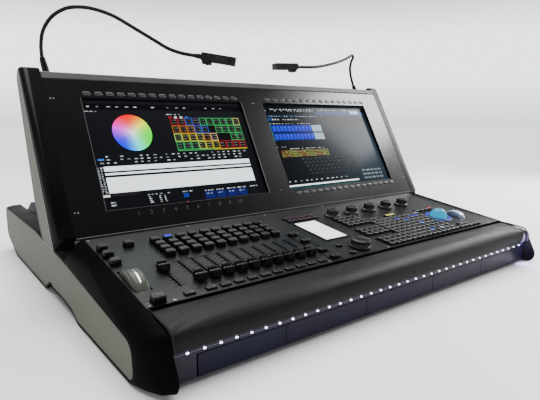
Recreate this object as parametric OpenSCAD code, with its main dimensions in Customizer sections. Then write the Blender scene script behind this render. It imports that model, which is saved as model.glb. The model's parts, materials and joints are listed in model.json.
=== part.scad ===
/* [Base] */
// Clear width between the two base cheeks
base_inner_w = 1160; // [1150:1:1170]
// Thickness of each base cheek
cheek_t = 42; // [40:1:46]
// How far the base reaches behind the front light line
base_rear_y = 1139; // [1135:1:1150]
// Height of the flat cheek top beside the rear deck
cheek_top_z = 140; // [139:0.5:140]
// Depth of the pocket that each colour inset lies in
inset_t = 2.5; // [1.5:0.5:4]
// Width of the black rim left around each colour inset
rim = 5; // [4:0.5:6]

/* [Control panel] */
// Length of the sloping control panel, front to back
panel_len = 341; // [340:0.5:342]
// Slope of the control panel in degrees
panel_slope = 8.4; // [8.2:0.1:8.6]
// Thickness of the panel plate
panel_t = 3; // [2:0.5:3]
// Number of playback channels
channels = 10; // [4:1:10]
// Spacing of the playback channels
channel_pitch = 31.4; // [31:0.1:31.6]
// Travel of every fader
fader_travel = 100; // [80:5:100]

/* [Monitor] */
// Lean of the monitor face, in degrees back from upright
face_tilt = 28.8; // [28:0.1:29]
// Width of the monitor face between its cheeks
face_w = 1190; // [1186:1:1194]
// Height of the monitor face
face_h = 409; // [408:1:410]
// Visible width of each display
screen_w = 473; // [460:1:475]
// Visible height of each display
screen_h = 298.6; // [290:0.2:300]
// Gap between the two displays
screen_gap = 84; // [80:1:90]
// Thickness of each monitor cheek
monitor_cheek_t = 43; // [40:1:46]

/* [Lights and drawer] */
// Number of light points in the front rail
led_count = 36; // [10:1:36]
// Width of the keyboard drawer front
drawer_w = 1056; // [1040:1:1058]
// Radius of the flexible lamp necks
neck_r = 5; // [4:0.5:6]

/* [Hidden] */

$fn = 48;

// Frame: the origin is under the middle of the whole desk, on the surface it stands on.
// Every part is laid out in a desk frame whose Y is 0 at the front light line.
front_y = -34;
desk_mid_y = (front_y + base_rear_y) / 2;
base_half = base_inner_w / 2;
panel_half = base_half - 0.5;
foot_h = 4;
panel_y = 81;
panel_z = 112.5;
face_y = 419;
face_z = 162.5;
gap = 0.4;

// Clean-cut offsets reused by several parts
deck_top_z = 138;
sheet_t = 2;
bay_half = drawer_w / 2 + 6;
bay_back_y = 242;
bay_top_z = 52;
housing_y = 900;
rear_wall_y = 1126;
tail_y = rear_wall_y - 2.5;
lift_y = 985;
lift_z = 34;

hinge_y = 541;
hinge_z = 154;
hinge_x = 450;
pin_r = 6;
pin_play = 0.05;

lamp_x = 566;
lamp_y = 677;
lamp_z = 513;

module at_desk() translate([0, -desk_mid_y, 0]) children();

// Local frame of the control panel: X across, Y up the slope, Z out of the panel
module on_panel(x = 0, s = 0, h = 0)
    at_desk() translate([x, panel_y, panel_z]) rotate([panel_slope, 0, 0])
        translate([0, s, h]) children();

// Local frame of the monitor: X across, Y behind the face, Z up the face
module in_monitor()
    at_desk() translate([0, face_y, face_z]) rotate([-face_tilt, 0, 0]) children();

// Local frame on the monitor face: X across, Y up the face, Z out of the face
module on_face(x = 0, up = 0, out = 0)
    in_monitor() translate([x, -out, up]) rotate([90, 0, 0]) children();

// Extrudes a (Y, Z) outline along X
module along_x(x0, x1)
    translate([x0, 0, 0]) rotate([90, 0, 90]) linear_extrude(x1 - x0) children();

module both_sides() {
    children();
    mirror([1, 0, 0]) children();
}

module block(lo, hi) translate(lo) cube(hi - lo);

// ---------------------------------------------------------------- base cheeks

// u runs from 0 at the inner face of the cheek to 1 at its outer face
function nose_back(u) = 72 * pow(u, 2.2);
function bevel(u) = pow(u, 1.5);

// Each entry is the centre and radius of one rounded corner: [y, z, r]
function front_corners(u) = [
    [-8 + nose_back(u), foot_h + 26, 26],
    [14 + 0.75 * nose_back(u), 72 - 18 * bevel(u), 28],
    [84 + 0.25 * nose_back(u), 112 - 28 * bevel(u), 3],
    [415.3, 163 - 44 * bevel(u), 3],
    [419, foot_h + 3, 3]
];
function rear_corners(u) = [
    [420, cheek_top_z - 3 - 18 * pow(u, 3), 3],
    [697, cheek_top_z - 1, 3],
    [base_rear_y - 28 - 8 * pow(u, 3), 118 - 4 * pow(u, 3), 28],
    [base_rear_y - 33 - 8 * pow(u, 3), 72, 33],
    [990, foot_h + 14, 14],
    [420, foot_h + 3, 3]
];
slice_t = 0.5;

module corner_discs(corners, u)
    for (c = corners)
        translate([base_half + u * (cheek_t - slice_t), c[0], c[1]]) rotate([0, 90, 0])
            cylinder(r = c[2], h = slice_t, $fn = 32);

// Hand hold cut up into the underside of each cheek
module hand_hold_outline()
    polygon([
        [344, -1], [344, foot_h], [368, 13], [392, 20], [450, 24], [538, 24],
        [556, 29], [574, 27], [592, 18], [616, foot_h], [616, -1]
    ]);

module cheek_side_outline(shrink)
    offset(delta = -shrink) difference() {
        union() {
            hull() for (c = front_corners(1)) translate([c[0], c[1]]) circle(c[2]);
            hull() for (c = rear_corners(1)) translate([c[0], c[1]]) circle(c[2]);
            translate([400, foot_h]) square([40, 100]);
        }
        hand_hold_outline();
    }

module right_cheek_shape()
    at_desk() difference() {
        union() {
            hull() for (u = [0, 0.4, 0.7, 0.9, 1]) corner_discs(front_corners(u), u);
            hull() for (u = [0, 0.5, 0.8, 1]) corner_discs(rear_corners(u), u);
        }
        along_x(base_half - 1, base_half + cheek_t + 1) hand_hold_outline();
        along_x(base_half + cheek_t - inset_t, base_half + cheek_t + 1)
            cheek_side_outline(rim);
    }

module right_cheek() color([0.06, 0.06, 0.06]) right_cheek_shape();
module left_cheek() color([0.06, 0.06, 0.06]) mirror([1, 0, 0]) right_cheek_shape();

module cheek_insets()
    color([0.55, 0.55, 0.5]) both_sides() at_desk()
        along_x(base_half + cheek_t - inset_t, base_half + cheek_t - 0.3)
            cheek_side_outline(rim + gap);

// ---------------------------------------------------------------- base body

module base_tray()
    color([0.12, 0.12, 0.13]) at_desk() {
        along_x(-panel_half, panel_half) polygon([
            [14, foot_h], [lift_y, foot_h], [tail_y, lift_z], [tail_y, lift_z + sheet_t],
            [lift_y, foot_h + sheet_t], [14, foot_h + sheet_t]
        ]);
        both_sides() {
            along_x(panel_half - sheet_t, panel_half) polygon([
                [96, 5], [lift_y, 5], [tail_y, lift_z + 1], [tail_y, 124], [housing_y, 124],
                [housing_y, deck_top_z - 2], [430, deck_top_z - 2], [430, 98], [96, 98]
            ]);
            block([bay_half - sheet_t, 14, 6], [bay_half, bay_back_y, bay_top_z - 2]);
        }
        block([-bay_half, 14, bay_top_z - 2], [bay_half, bay_back_y, bay_top_z]);
        block([-bay_half, bay_back_y - 2, 6], [bay_half, bay_back_y, bay_top_z - 1]);
    }

foot_places = [120, 310, 690, 960];
module rubber_feet()
    color([0.03, 0.03, 0.03]) at_desk() both_sides() for (y = foot_places)
        translate([base_half + cheek_t / 2, y, 0]) cylinder(r = 14, h = foot_h);

module rear_deck()
    color([0.1, 0.1, 0.1]) at_desk() {
        translate([0, 0, deck_top_z - 2]) linear_extrude(2) difference() {
            translate([-panel_half, 400]) square([2 * panel_half, housing_y - 400]);
            for (side = [-1, 1]) for (k = [0 : 11])
                translate([side * 260 - 60, 640 + 16 * k]) square([120, 6]);
        }
        both_sides() block([558, housing_y - 2, 127], [577, housing_y, deck_top_z - 1]);
    }

// The housing is a bent sheet with low shoulders beside the cheeks
function housing_line(d) = [
    [-panel_half, 124 + d], [-555 - d, 124 + d], [-544 - d, 146 + d],
    [544 + d, 146 + d], [555 + d, 124 + d], [panel_half, 124 + d]
];
module rear_housing()
    color([0.09, 0.09, 0.09]) at_desk() {
        translate([0, rear_wall_y, 0]) rotate([90, 0, 0])
            linear_extrude(rear_wall_y - housing_y - 0.5)
                polygon(concat(housing_line(2), [for (k = [5 : -1 : 0]) housing_line(0)[k]]));
        for (y = [housing_y + 3, rear_wall_y]) translate([0, y, 0]) rotate([90, 0, 0])
            linear_extrude(2.5) polygon([
                [-556, 123], [-545, 147], [545, 147], [556, 123]
            ]);
        difference() {
            block([-panel_half, tail_y, lift_z], [panel_half, rear_wall_y, 125]);
            block([-536, rear_wall_y - 4, 47], [536, rear_wall_y + 2, 117]);
        }
    }

// Connector plate: [x, z] of every round socket flange, then the rectangular ones
round_sockets = [for (row = [0, 1]) for (k = [0 : 3]) [-430 + 70 * k, 64.5 + 35 * row]];
jack_sockets = [for (k = [0 : 5]) [-50 + 34 * k, 98]];
usb_sockets = [for (k = [0 : 5]) [-50 + 34 * k, 66]];
video_sockets = [for (k = [0 : 1]) [220, 66 + 32 * k]];
inlet_x = 450;
inlet_z = 82;
plate_y = rear_wall_y - 5;

module rear_panel()
    color([0.2, 0.2, 0.21]) at_desk()
        translate([0, plate_y + 2.5, 0]) rotate([90, 0, 0]) linear_extrude(2.5)
            difference() {
                for (x = [[-542, inlet_x - 15.3], [inlet_x + 15.3, 542]])
                    translate([x[0], 42]) square([x[1] - x[0], 80]);
                for (p = round_sockets) translate(p) circle(12);
                for (p = jack_sockets) translate(p) square([16, 14], center = true);
                for (p = usb_sockets) translate(p) square([14, 7], center = true);
                for (p = video_sockets) translate(p) square([22, 9], center = true);
            }

module round_socket()
    difference() {
        union() {
            translate([-13, -15.5, 0]) cube([26, 31, 1.8]);
            translate([0, 0, -14]) cylinder(r = 11.8, h = 14);
            cylinder(r = 11.2, h = 4);
        }
        translate([0, 0, -10]) cylinder(r = 9.2, h = 20);
    }

module box_socket(w, h, wall)
    translate([0, 0, -12]) linear_extrude(13.5) difference() {
        square([w, h], center = true);
        square([w - 2 * wall, h - 2 * wall], center = true);
    }

module on_rear(p) translate([p[0], plate_y + 2.5, p[1]]) rotate([-90, 0, 0]) children();

module rear_sockets()
    color([0.7, 0.7, 0.72]) at_desk() {
        for (p = round_sockets) on_rear(p) round_socket();
        for (p = jack_sockets) on_rear(p) box_socket(15.6, 13.6, 1.6);
        for (p = usb_sockets) on_rear(p) box_socket(13.6, 6.6, 1);
        for (p = video_sockets) on_rear(p) box_socket(21.6, 8.6, 1);
    }

module power_inlet()
    color([0.04, 0.04, 0.04]) at_desk() on_rear([inlet_x, inlet_z]) difference() {
        union() {
            translate([-25, -34.7, 0]) cube([50, 69.4, 2.5]);
            translate([-14.6, -11.6, -20]) cube([29.2, 23.2, 21]);
        }
        translate([-12, -9, -16]) cube([24, 18, 30]);
    }

// ---------------------------------------------------------------- front edge

module wrist_rest()
    color([0.05, 0.05, 0.05]) at_desk() difference() {
        hull() {
            translate([-panel_half, 14, 79]) rotate([0, 90, 0])
                cylinder(r = 27, h = 2 * panel_half, $fn = 64);
            translate([-panel_half, 52, 104]) rotate([0, 90, 0])
                cylinder(r = 6, h = 2 * panel_half, $fn = 32);
            block([-panel_half, 78, 62], [panel_half, 80.3, 112]);
        }
        block([-panel_half - 1, -20, 40], [panel_half + 1, 90, 62]);
    }

module front_rail()
    color([0.3, 0.3, 0.33]) at_desk() {
        block([-panel_half, 0.5, 50], [panel_half, 13.5, 61.8]);
        block([-panel_half, 13.5, 58], [panel_half, 78, 61.8]);
        both_sides() block([drawer_w / 2 + 2.5, 2, 8], [panel_half, 13.5, 50]);
    }

led_pitch = 31.3;
module led_lenses()
    color([0.9, 0.92, 1]) at_desk() for (k = [0 : led_count - 1])
        translate([(k - (led_count - 1) / 2) * led_pitch, 0.5, 56.4]) rotate([90, 0, 0])
            cylinder(r = 2.2, h = 1.4, $fn = 24);

// ---------------------------------------------------------------- control panel

channel_x0 = -446;
master_x = -491;
fader_low_s = 51;
fader_rest_s = 57;
master_rest_s = 124;
slot_play = 3;

function channel_x(k) = channel_x0 + k * channel_pitch;
fader_x = concat([master_x], [for (k = [0 : channels - 1]) channel_x(k)]);

// Key lists hold [x, s, width, depth, height] for every key
row_s = [186, 211, 236, 264];
playback_list = concat(
    [for (s = row_s) for (k = [0 : channels - 1]) [channel_x(k), s, 22, 16.5, 13]],
    [for (x = fader_x) [x, 15, 22, 12, 4.5]],
    [for (s = [190, 232, 268]) [-562, s, 22, 17, 13]],
    [[-505, 268, 22, 17, 13], [-552, 13.5, 26, 18, 14]]
);

function key_block(x0, s0, nx, ns) =
    [for (j = [0 : ns - 1]) for (i = [0 : nx - 1]) [x0 + 22 * i, s0 + 17.5 * j, 18.5, 14, 6.5]];
programmer_list = concat(
    key_block(78, 161, 4, 4), key_block(72, 87, 4, 3), key_block(76, 15, 4, 3),
    key_block(164, 15, 6, 9), key_block(298, 15, 4, 9),
    [[175, 174, 40.5, 14, 6.5], [263, 174, 40.5, 14, 6.5]],
    key_block(392, 172, 4, 1), key_block(392, 15, 5, 1), key_block(414, 32.5, 2, 1),
    [for (j = [0, 1]) for (i = [0 : 5]) [-58 + 18 * i, 254 + 17 * j, 15, 13, 5]],
    [for (s = [18, 59, 120, 167]) [-122, s, 24, 15, 9]],
    [[-62, 64, 15, 11, 6], [-62, 18, 15, 11, 6], [36, 64, 15, 11, 6]]
);

module key_cutouts(keys)
    for (k = keys) translate([k[0], k[1]]) square([k[2] + 1, k[3] + 1], center = true);

// A key is a straight stem through the panel with a narrower top step
key_step = 1.2;
module key_solids(keys)
    for (k = keys) translate([k[0] - k[2] / 2, k[1] - k[3] / 2, -panel_t - 1]) {
        cube([k[2], k[3], panel_t + 1 + 0.7 * k[4]]);
        translate([key_step, key_step, 1])
            cube([k[2] - 2 * key_step, k[3] - 2 * key_step, panel_t + k[4]]);
    }

encoder_x = [for (k = [0 : 4]) 92 + 79 * k];
encoder_s = 244.5;
ball_x = 415;
ball_s = 107;
ball_h = 2;
ball_r = 25.5;
jog_x = -14;
jog_s = 40;
jog_r = 27.5;
rate_x = -557.5;
rate_s = 106;
rate_r = 58;
rate_h = -38;
rate_w = 30;
dim_x = 490;
dim_s = 95;
dim_r = 38;
dim_h = -23;
dim_w = 24;
wheel_bore = 4.05;
touch_x = -26;
touch_s = 169;
touch_w = 82;
touch_l = 134;

function half_chord(r, depth) = sqrt(r * r - depth * depth);

module wheel_slot(x, s, r, h, w)
    translate([x, s]) square([w + 3, 2 * half_chord(r, -h - panel_t) + 3], center = true);

module panel_outline()
    difference() {
        translate([-panel_half, 0]) square([2 * panel_half, panel_len]);
        key_cutouts(playback_list);
        key_cutouts(programmer_list);
        for (x = fader_x) translate([x - 1.3, fader_low_s - slot_play])
            square([2.6, fader_travel + 2 * slot_play]);
        for (x = encoder_x) translate([x, encoder_s]) circle(4);
        translate([jog_x, jog_s]) circle(5);
        translate([ball_x, ball_s]) circle(ball_r + 1);
        wheel_slot(rate_x, rate_s, rate_r, rate_h, rate_w);
        wheel_slot(dim_x, dim_s, dim_r, dim_h, dim_w);
        translate([touch_x, touch_s]) square([touch_w - 8, touch_l - 8], center = true);
    }

riser_drop = 24.2;
module control_panel()
    color([0.2, 0.21, 0.21]) {
        on_panel(0, 0, -panel_t) linear_extrude(panel_t) panel_outline();
        on_panel(-panel_half, panel_len - 2, -riser_drop)
            cube([2 * panel_half, 2, riser_drop - 1]);
    }

module touchscreen()
    color([0.9, 0.9, 0.92]) {
        on_panel(touch_x - touch_w / 2, touch_s - touch_l / 2, 0) cube([touch_w, touch_l, 2]);
        on_panel(touch_x - touch_w / 2 + 5, touch_s - touch_l / 2 + 5, -6)
            cube([touch_w - 10, touch_l - 10, 6]);
    }

screw_places = concat(
    [for (x = [-570, -525, -150, 52, 525, 570]) for (s = [4.5]) [x, s]],
    [for (x = [-572, -330, -90, 130, 360, 572]) [x, panel_len - 12]]
);
module panel_screws()
    color([0.5, 0.5, 0.5]) for (p = screw_places) on_panel(p[0], p[1], 0) difference() {
        cylinder(r = 3, h = 1.2, $fn = 24);
        translate([0, 0, 0.5]) cylinder(r = 1.3, h = 1, $fn = 6);
    }

module axle_frame(x, s, h, w)
    on_panel(x, s, 0) {
        for (side = [-1, 1]) translate([side * (w / 2 + 2) - 1, -8, h - 8])
            cube([2, 16, -h + 8 - panel_t]);
        translate([-w / 2 - 2.5, 0, h]) rotate([0, 90, 0])
            cylinder(r = wheel_bore - pin_play, h = w + 5);
    }

// Fader, encoder, ball and wheel housings that hang under the panel
module control_modules()
    color([0.35, 0.36, 0.38]) {
        for (x = fader_x) on_panel(x, fader_low_s - 12, -22) difference() {
            translate([-6, 0, 0]) cube([12, fader_travel + 24, 22 - panel_t]);
            translate([-1.3, 9, 6]) cube([2.6, fader_travel + 6, 30]);
        }
        for (x = encoder_x) on_panel(x, encoder_s, -18) difference() {
            translate([-8, -8, 0]) cube([16, 16, 18 - panel_t]);
            translate([0, 0, 4]) cylinder(r = 3.05, h = 20);
        }
        on_panel(jog_x, jog_s, -18) difference() {
            translate([-12, -12, 0]) cube([24, 24, 18 - panel_t]);
            translate([0, 0, 4]) cylinder(r = 4.05, h = 20);
        }
        on_panel(ball_x, ball_s, -30) difference() {
            cylinder(r = 34, h = 30 - panel_t);
            translate([0, 0, 30 + ball_h]) sphere(ball_r + 0.8);
        }
        axle_frame(rate_x, rate_s, rate_h, rate_w);
        axle_frame(dim_x, dim_s, dim_h, dim_w);
    }

module circuit_board()
    color([0.05, 0.3, 0.15]) on_panel(0, 0, -34) linear_extrude(1.6) difference() {
        translate([-530, 12]) square([1060, 316]);
        translate([468, 50]) square([46, 94]);
    }

// ---------------------------------------------------------------- inner modules

module computer_module()
    color([0.6, 0.61, 0.63]) at_desk() {
        block([-480, 620, 6], [-120, 860, 70]);
        for (k = [0 : 9]) block([-440 + 30 * k, 640, 70], [-436 + 30 * k, 840, 84]);
    }

module power_supply()
    color([0.62, 0.62, 0.6]) at_desk() {
        block([150, 620, 6], [420, 840, 66]);
        block([180, 840, 14], [260, 850, 58]);
    }

runner_gap = 1;
tray_half = 505;
module drawer_runners()
    color([0.7, 0.7, 0.7]) at_desk() both_sides()
        block([tray_half + 7 + runner_gap, 30, 20], [bay_half - sheet_t, 234, 34]);

// ---------------------------------------------------------------- keyboard drawer

drawer_front_y = 2;
key_well_z = 17;
board_x = 215;
module keyboard_drawer()
    color([0.08, 0.07, 0.13]) at_desk() {
        block([-drawer_w / 2, drawer_front_y, 8], [drawer_w / 2, drawer_front_y + 5, 48]);
        block([-tray_half, drawer_front_y + 5, 10], [tray_half, 228, 12]);
        both_sides() {
            block([tray_half, drawer_front_y + 5, 10], [tray_half + 2, 228, 38]);
            block([tray_half + 2, 30, 22], [tray_half + 7, 226, 32]);
        }
        block([-tray_half, 226, 12], [tray_half, 228, 38]);
        difference() {
            block([-board_x - 14, 52, 12], [board_x + 14, 190, 22]);
            block([-board_x - 6, 60, key_well_z], [board_x + 6, 182, 30]);
        }
    }

// Keyboard: [x, y, width] of every key, main block on the left, number pad on the right
key_p = 19;
key_d = 16.5;
function key_row(row, x0, n) = [for (k = [0 : n - 1]) [x0 + key_p * k, row, key_d]];
keyboard_list = concat(
    [for (row = [1 : 5]) for (k = key_row(row, -200, 14)) k],
    key_row(0, -200, 4), [[-76.5, 0, key_d + 5 * key_p]], key_row(0, -10, 4),
    [for (row = [0 : 5]) for (k = key_row(row, 76, 3)) k],
    [for (row = [0 : 5]) for (k = key_row(row, 144, 4)) k]
);
module keyboard_keys()
    color([0.13, 0.13, 0.14]) at_desk() for (k = keyboard_list)
        translate([k[0] - k[2] / 2, 64 + key_p * k[1], key_well_z + 3.2]) {
            cube([k[2], key_d, 4.5]);
            translate([key_step, key_step, 1]) cube([k[2] - 2 * key_step, key_d - 2 * key_step, 6]);
        }

// ---------------------------------------------------------------- moving controls

module fader_cap(x, s)
    on_panel(x, s, 0) {
        translate([-0.9, -2.8, -13]) cube([1.8, 5.6, 15]);
        translate([-10, 0, 0]) rotate([90, 0, 90]) linear_extrude(20) polygon([
            [-12, 1.5], [12, 1.5], [12, 5], [10.5, 17.5], [8.5, 18.5], [6, 17],
            [3, 13.2], [0, 12.4], [-3, 13.2], [-6, 17], [-8.5, 18.5], [-10.5, 17.5], [-12, 5]
        ]);
    }
module grand_master_fader() color([0.05, 0.05, 0.05]) fader_cap(master_x, master_rest_s);
module channel_fader(k) color([0.05, 0.05, 0.05]) fader_cap(channel_x(k - 1), fader_rest_s);

module thumb_wheel(x, s, h, r, w)
    on_panel(x - w / 2, s, h) rotate([0, 90, 0]) difference() {
        union() {
            cylinder(r = r - 4, h = w, $fn = 96);
            translate([0, 0, 4]) cylinder(r = r, h = w - 8, $fn = 96);
            translate([0, 0, 0]) cylinder(r1 = r - 4, r2 = r, h = 4, $fn = 96);
            translate([0, 0, w - 4]) cylinder(r1 = r, r2 = r - 4, h = 4, $fn = 96);
        }
        translate([0, 0, -1]) cylinder(r = wheel_bore, h = w + 2);
    }
module rate_wheel() color([0.4, 0.4, 0.36]) thumb_wheel(rate_x, rate_s, rate_h, rate_r, rate_w);
module intensity_wheel() color([0.75, 0.8, 0.9]) thumb_wheel(dim_x, dim_s, dim_h, dim_r, dim_w);

module trackball()
    color([0.2, 0.7, 1]) on_panel(ball_x, ball_s, ball_h) sphere(ball_r, $fn = 64);

module jog_wheel()
    color([0.07, 0.07, 0.07]) on_panel(jog_x, jog_s, 0) difference() {
        union() {
            translate([0, 0, -12]) cylinder(r = 4, h = 14);
            translate([0, 0, 1]) cylinder(r = jog_r, h = 4, $fn = 64);
            translate([0, 0, 5]) cylinder(r = jog_r - 2.5, h = 15, $fn = 64);
        }
        translate([15, 0, 18]) cylinder(r = 6, h = 5, $fn = 32);
    }

module encoder(k)
    color([0.08, 0.08, 0.08]) on_panel(encoder_x[k - 1], encoder_s, 0) {
        translate([0, 0, -12]) cylinder(r = 3, h = 14);
        translate([0, 0, 1]) cylinder(r = 23, h = 5, $fn = 64);
        translate([0, 0, 6]) cylinder(r = 16.5, h = 15, $fn = 64);
    }

module playback_keys() color([0.1, 0.1, 0.1]) on_panel() key_solids(playback_list);
module programmer_keys() color([0.1, 0.1, 0.1]) on_panel() key_solids(programmer_list);

// ---------------------------------------------------------------- monitor

face_half = face_w / 2;
skin_half = face_half - 0.3;
screen_x = (screen_gap + screen_w) / 2 - 1;
screen_up = 60.2;
window_t = 12;

// Each row of soft keys: [first x, height up the face, pitch]
soft_rows = [[-498, 371, 29], [64, 371, 29.6], [68, 47, 29.2]];
soft_keys = [for (r = soft_rows) for (k = [0 : 15]) [r[0] + k * r[2], r[1]]];

module oval(w, h) {
    square([w - h, h], center = true);
    for (side = [-1, 1]) translate([side * (w - h) / 2, 0]) circle(h / 2, $fn = 24);
}

module monitor_bezel()
    color([0.03, 0.03, 0.04]) {
        on_face(0, 0, -panel_t) linear_extrude(panel_t) difference() {
            translate([-skin_half, 0]) square([2 * skin_half, face_h - 0.3]);
            for (side = [-1, 1]) translate([side * screen_x, screen_up + screen_h / 2])
                square([screen_w, screen_h], center = true);
            for (p = soft_keys) translate(p) oval(21.8, 11.8);
        }
        for (side = [-1, 1]) on_face(side * screen_x, screen_up + screen_h / 2, -window_t)
            linear_extrude(window_t - panel_t) difference() {
                square([screen_w + 6, screen_h + 6], center = true);
                square([screen_w, screen_h], center = true);
            }
    }

module screen(side)
    color([0.1, 0.12, 0.2])
        on_face(side * screen_x, screen_up + screen_h / 2, -window_t - 14) linear_extrude(14)
            square([screen_w + 14, screen_h + 14], center = true);
module left_screen() screen(-1);
module right_screen() screen(1);

module shell_outline(inner)
    polygon([
        [3, inner], [90 - 0.7 * inner, 42 + 1.1 * inner], [98 - inner, 62],
        [98 - inner, 146], [46 - inner, face_h - 1 - inner], [3, face_h - 1 - inner]
    ]);
module monitor_shell()
    color([0.08, 0.08, 0.08]) in_monitor() difference() {
        along_x(-skin_half, skin_half) shell_outline(0);
        along_x(-skin_half + 3, skin_half - 3) difference() {
            shell_outline(3);
            translate([0, 0]) square([3.01, face_h]);
        }
        translate([-skin_half + 3, 2.9, 3]) cube([2 * skin_half - 6, 1, face_h - 7]);
        for (k = [0 : 17]) translate([-330 + 40 * k, 60, 120]) cube([14, 60, 40]);
    }

module monitor_top_strip()
    color([0.4, 0.4, 0.4]) in_monitor() along_x(-skin_half, skin_half) polygon([
        [-1.5, face_h + 2], [-1.5, face_h + 18], [2, face_h + 21.5], [30, face_h + 21.5],
        [44, face_h + 12], [44, face_h], [3, face_h], [3, face_h + 2]
    ]);

// u runs from 0 at the face to 1 at the outer side of the monitor cheek
function side_front(u) = 20 * (1 - sqrt(1 - pow(max(0, (u - 0.55) / 0.45), 2)));
function side_outline(tf) = [
    [tf, 8], [max(tf, 20), -12], [88, 30], [101, 41], [107, 60], [110, 146],
    [53, 434], [45, 445], [max(tf, 6) + 7, 447], [tf, 436]
];
module monitor_cheek_slice(u)
    translate([face_half + u * (monitor_cheek_t - slice_t), 0, 0])
        along_x(0, slice_t) polygon(side_outline(side_front(u)));

module cheek_inset_outline(shrink)
    offset(delta = -shrink) polygon([
        [22, -8], [88, 33], [98, 43], [104, 60], [107, 146], [50, 428], [41, 437], [22, 416]
    ]);

module monitor_cheeks()
    color([0.06, 0.06, 0.06]) both_sides() in_monitor() difference() {
        hull() for (u = [0, 0.55, 0.7, 0.8, 0.9, 0.96, 1]) monitor_cheek_slice(u);
        along_x(face_half + monitor_cheek_t - inset_t, face_half + monitor_cheek_t + 1)
            cheek_inset_outline(rim - 3);
    }

module monitor_cheek_insets()
    color([0.55, 0.55, 0.5]) both_sides() in_monitor()
        along_x(face_half + monitor_cheek_t - inset_t, face_half + monitor_cheek_t - 0.3)
            cheek_inset_outline(rim - 3 + gap);

module monitor_keys()
    color([0.4, 0.42, 0.4]) for (p = soft_keys) on_face(p[0], p[1], -5)
        linear_extrude(6.6) oval(21, 11);

ear_gap = 21;
ear_t = 6;
module hinge_brackets()
    color([0.3, 0.3, 0.3]) both_sides() at_desk() {
        block([hinge_x - 40, hinge_y - 25, deck_top_z], [hinge_x + 40, hinge_y + 25, 141]);
        for (x = [hinge_x - ear_gap - ear_t, hinge_x + ear_gap]) {
            block([x, hinge_y - 10, 140], [x + ear_t, hinge_y + 10, hinge_z]);
            translate([x, hinge_y, hinge_z]) rotate([0, 90, 0]) cylinder(r = 10, h = ear_t);
        }
        translate([hinge_x - ear_gap - ear_t, hinge_y, hinge_z]) rotate([0, 90, 0])
            cylinder(r = pin_r, h = 2 * (ear_gap + ear_t));
    }

module hinge_arms()
    color([0.35, 0.35, 0.35]) both_sides() difference() {
        union() {
            at_desk() translate([hinge_x - ear_gap + 0.5, hinge_y, hinge_z]) rotate([0, 90, 0])
                cylinder(r = 10.5, h = 2 * ear_gap - 1);
            in_monitor() block([hinge_x - ear_gap + 0.5, 98, 52], [hinge_x + ear_gap - 0.5, 104, 136]);
        }
        at_desk() translate([hinge_x - ear_gap - 1, hinge_y, hinge_z]) rotate([0, 90, 0])
            cylinder(r = pin_r + pin_play, h = 2 * ear_gap + 2);
    }

// ---------------------------------------------------------------- lamps

socket_top = lamp_z + 6;
module lamp_sockets()
    color([0.1, 0.1, 0.1]) both_sides() difference() {
        union() {
            in_monitor() block([lamp_x - 12, 44, face_h + 0.5], [lamp_x + 12, 56, face_h + 12]);
            at_desk() translate([lamp_x, lamp_y, lamp_z - 24]) cylinder(r = 11, h = 30);
        }
        at_desk() translate([lamp_x, lamp_y, lamp_z - 14]) cylinder(r = 7.05, h = 30);
    }

function blend_point(a, b, c, d, t) =
    0.5 * (2 * b + (c - a) * t + (2 * a - 5 * b + 4 * c - d) * t * t
        + (3 * b - a - 3 * c + d) * t * t * t);
function smooth_route(p, n) = concat(
    [for (i = [0 : len(p) - 2]) for (k = [0 : n - 1])
        blend_point(p[max(i - 1, 0)], p[i], p[i + 1], p[min(i + 2, len(p) - 1)], k / n)],
    [p[len(p) - 1]]);
function unit(v) = v / norm(v);

// Tube of radius r along a route; side is a direction that the route never points along
module swept_tube(route, r, side, sides = 12) {
    last = len(route) - 1;
    rings = [for (i = [0 : last])
        let (t = unit(route[min(i + 1, last)] - route[max(i - 1, 0)]),
             n = unit(side - (side * t) * t), b = cross(t, n))
        for (k = [0 : sides - 1])
            route[i] + r * (cos(360 * k / sides) * n + sin(360 * k / sides) * b)];
    walls = [for (i = [0 : last - 1]) for (k = [0 : sides - 1])
        let (a = i * sides + k, b = i * sides + (k + 1) % sides)
        each [[a, b, b + sides], [a, b + sides, a + sides]]];
    ends = [[for (k = [sides - 1 : -1 : 0]) k], [for (k = [0 : sides - 1]) last * sides + k]];
    polyhedron(points = rings,
        faces = [for (w = concat(walls, ends)) [for (q = [len(w) - 1 : -1 : 0]) w[q]]]);
}

// The left neck lies in one upright plane: [distance out, height above its socket]
left_dir = [0.8, -0.6, 0];
left_bend = [
    [0, 10], [-5, 35], [-11, 64], [-11, 97], [-3, 130], [20, 161], [54, 180], [88, 184],
    [126, 179], [172, 163], [224, 133], [273, 104], [304, 86], [340, 74], [387, 66.5]
];
left_route = [for (p = left_bend)
    [-lamp_x, lamp_y, lamp_z] + p[0] * left_dir + [0, 0, p[1]]];
right_route = [
    [566, 677, 523], [560, 677, 536], [549, 677, 555], [531, 674, 587], [522, 672, 618],
    [527, 671, 645], [534, 669, 660], [530, 668, 668], [519, 666, 666], [479, 655, 650],
    [408, 638, 629], [320, 618, 610], [253, 606, 601], [187, 600.5, 597.6]
];

boot_r = 8.6;
module lamp_neck(route, side) {
    line = smooth_route(route, 3);
    at_desk() swept_tube(line, neck_r, side);
    at_desk() swept_tube([for (i = [1 : 6]) line[i]], boot_r, side);
    at_desk() translate([route[0][0], lamp_y, lamp_z - 12]) cylinder(r = 7, h = 20);
    at_desk() translate([route[0][0], lamp_y, socket_top + 0.4]) cylinder(r = 9.5, h = 14);
}
module left_lamp_neck() color([0.05, 0.05, 0.05]) lamp_neck(left_route, [0.6, 0.8, 0]);
module right_lamp_neck() color([0.05, 0.05, 0.05]) lamp_neck(right_route, [0.2, 1, 0]);

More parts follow.
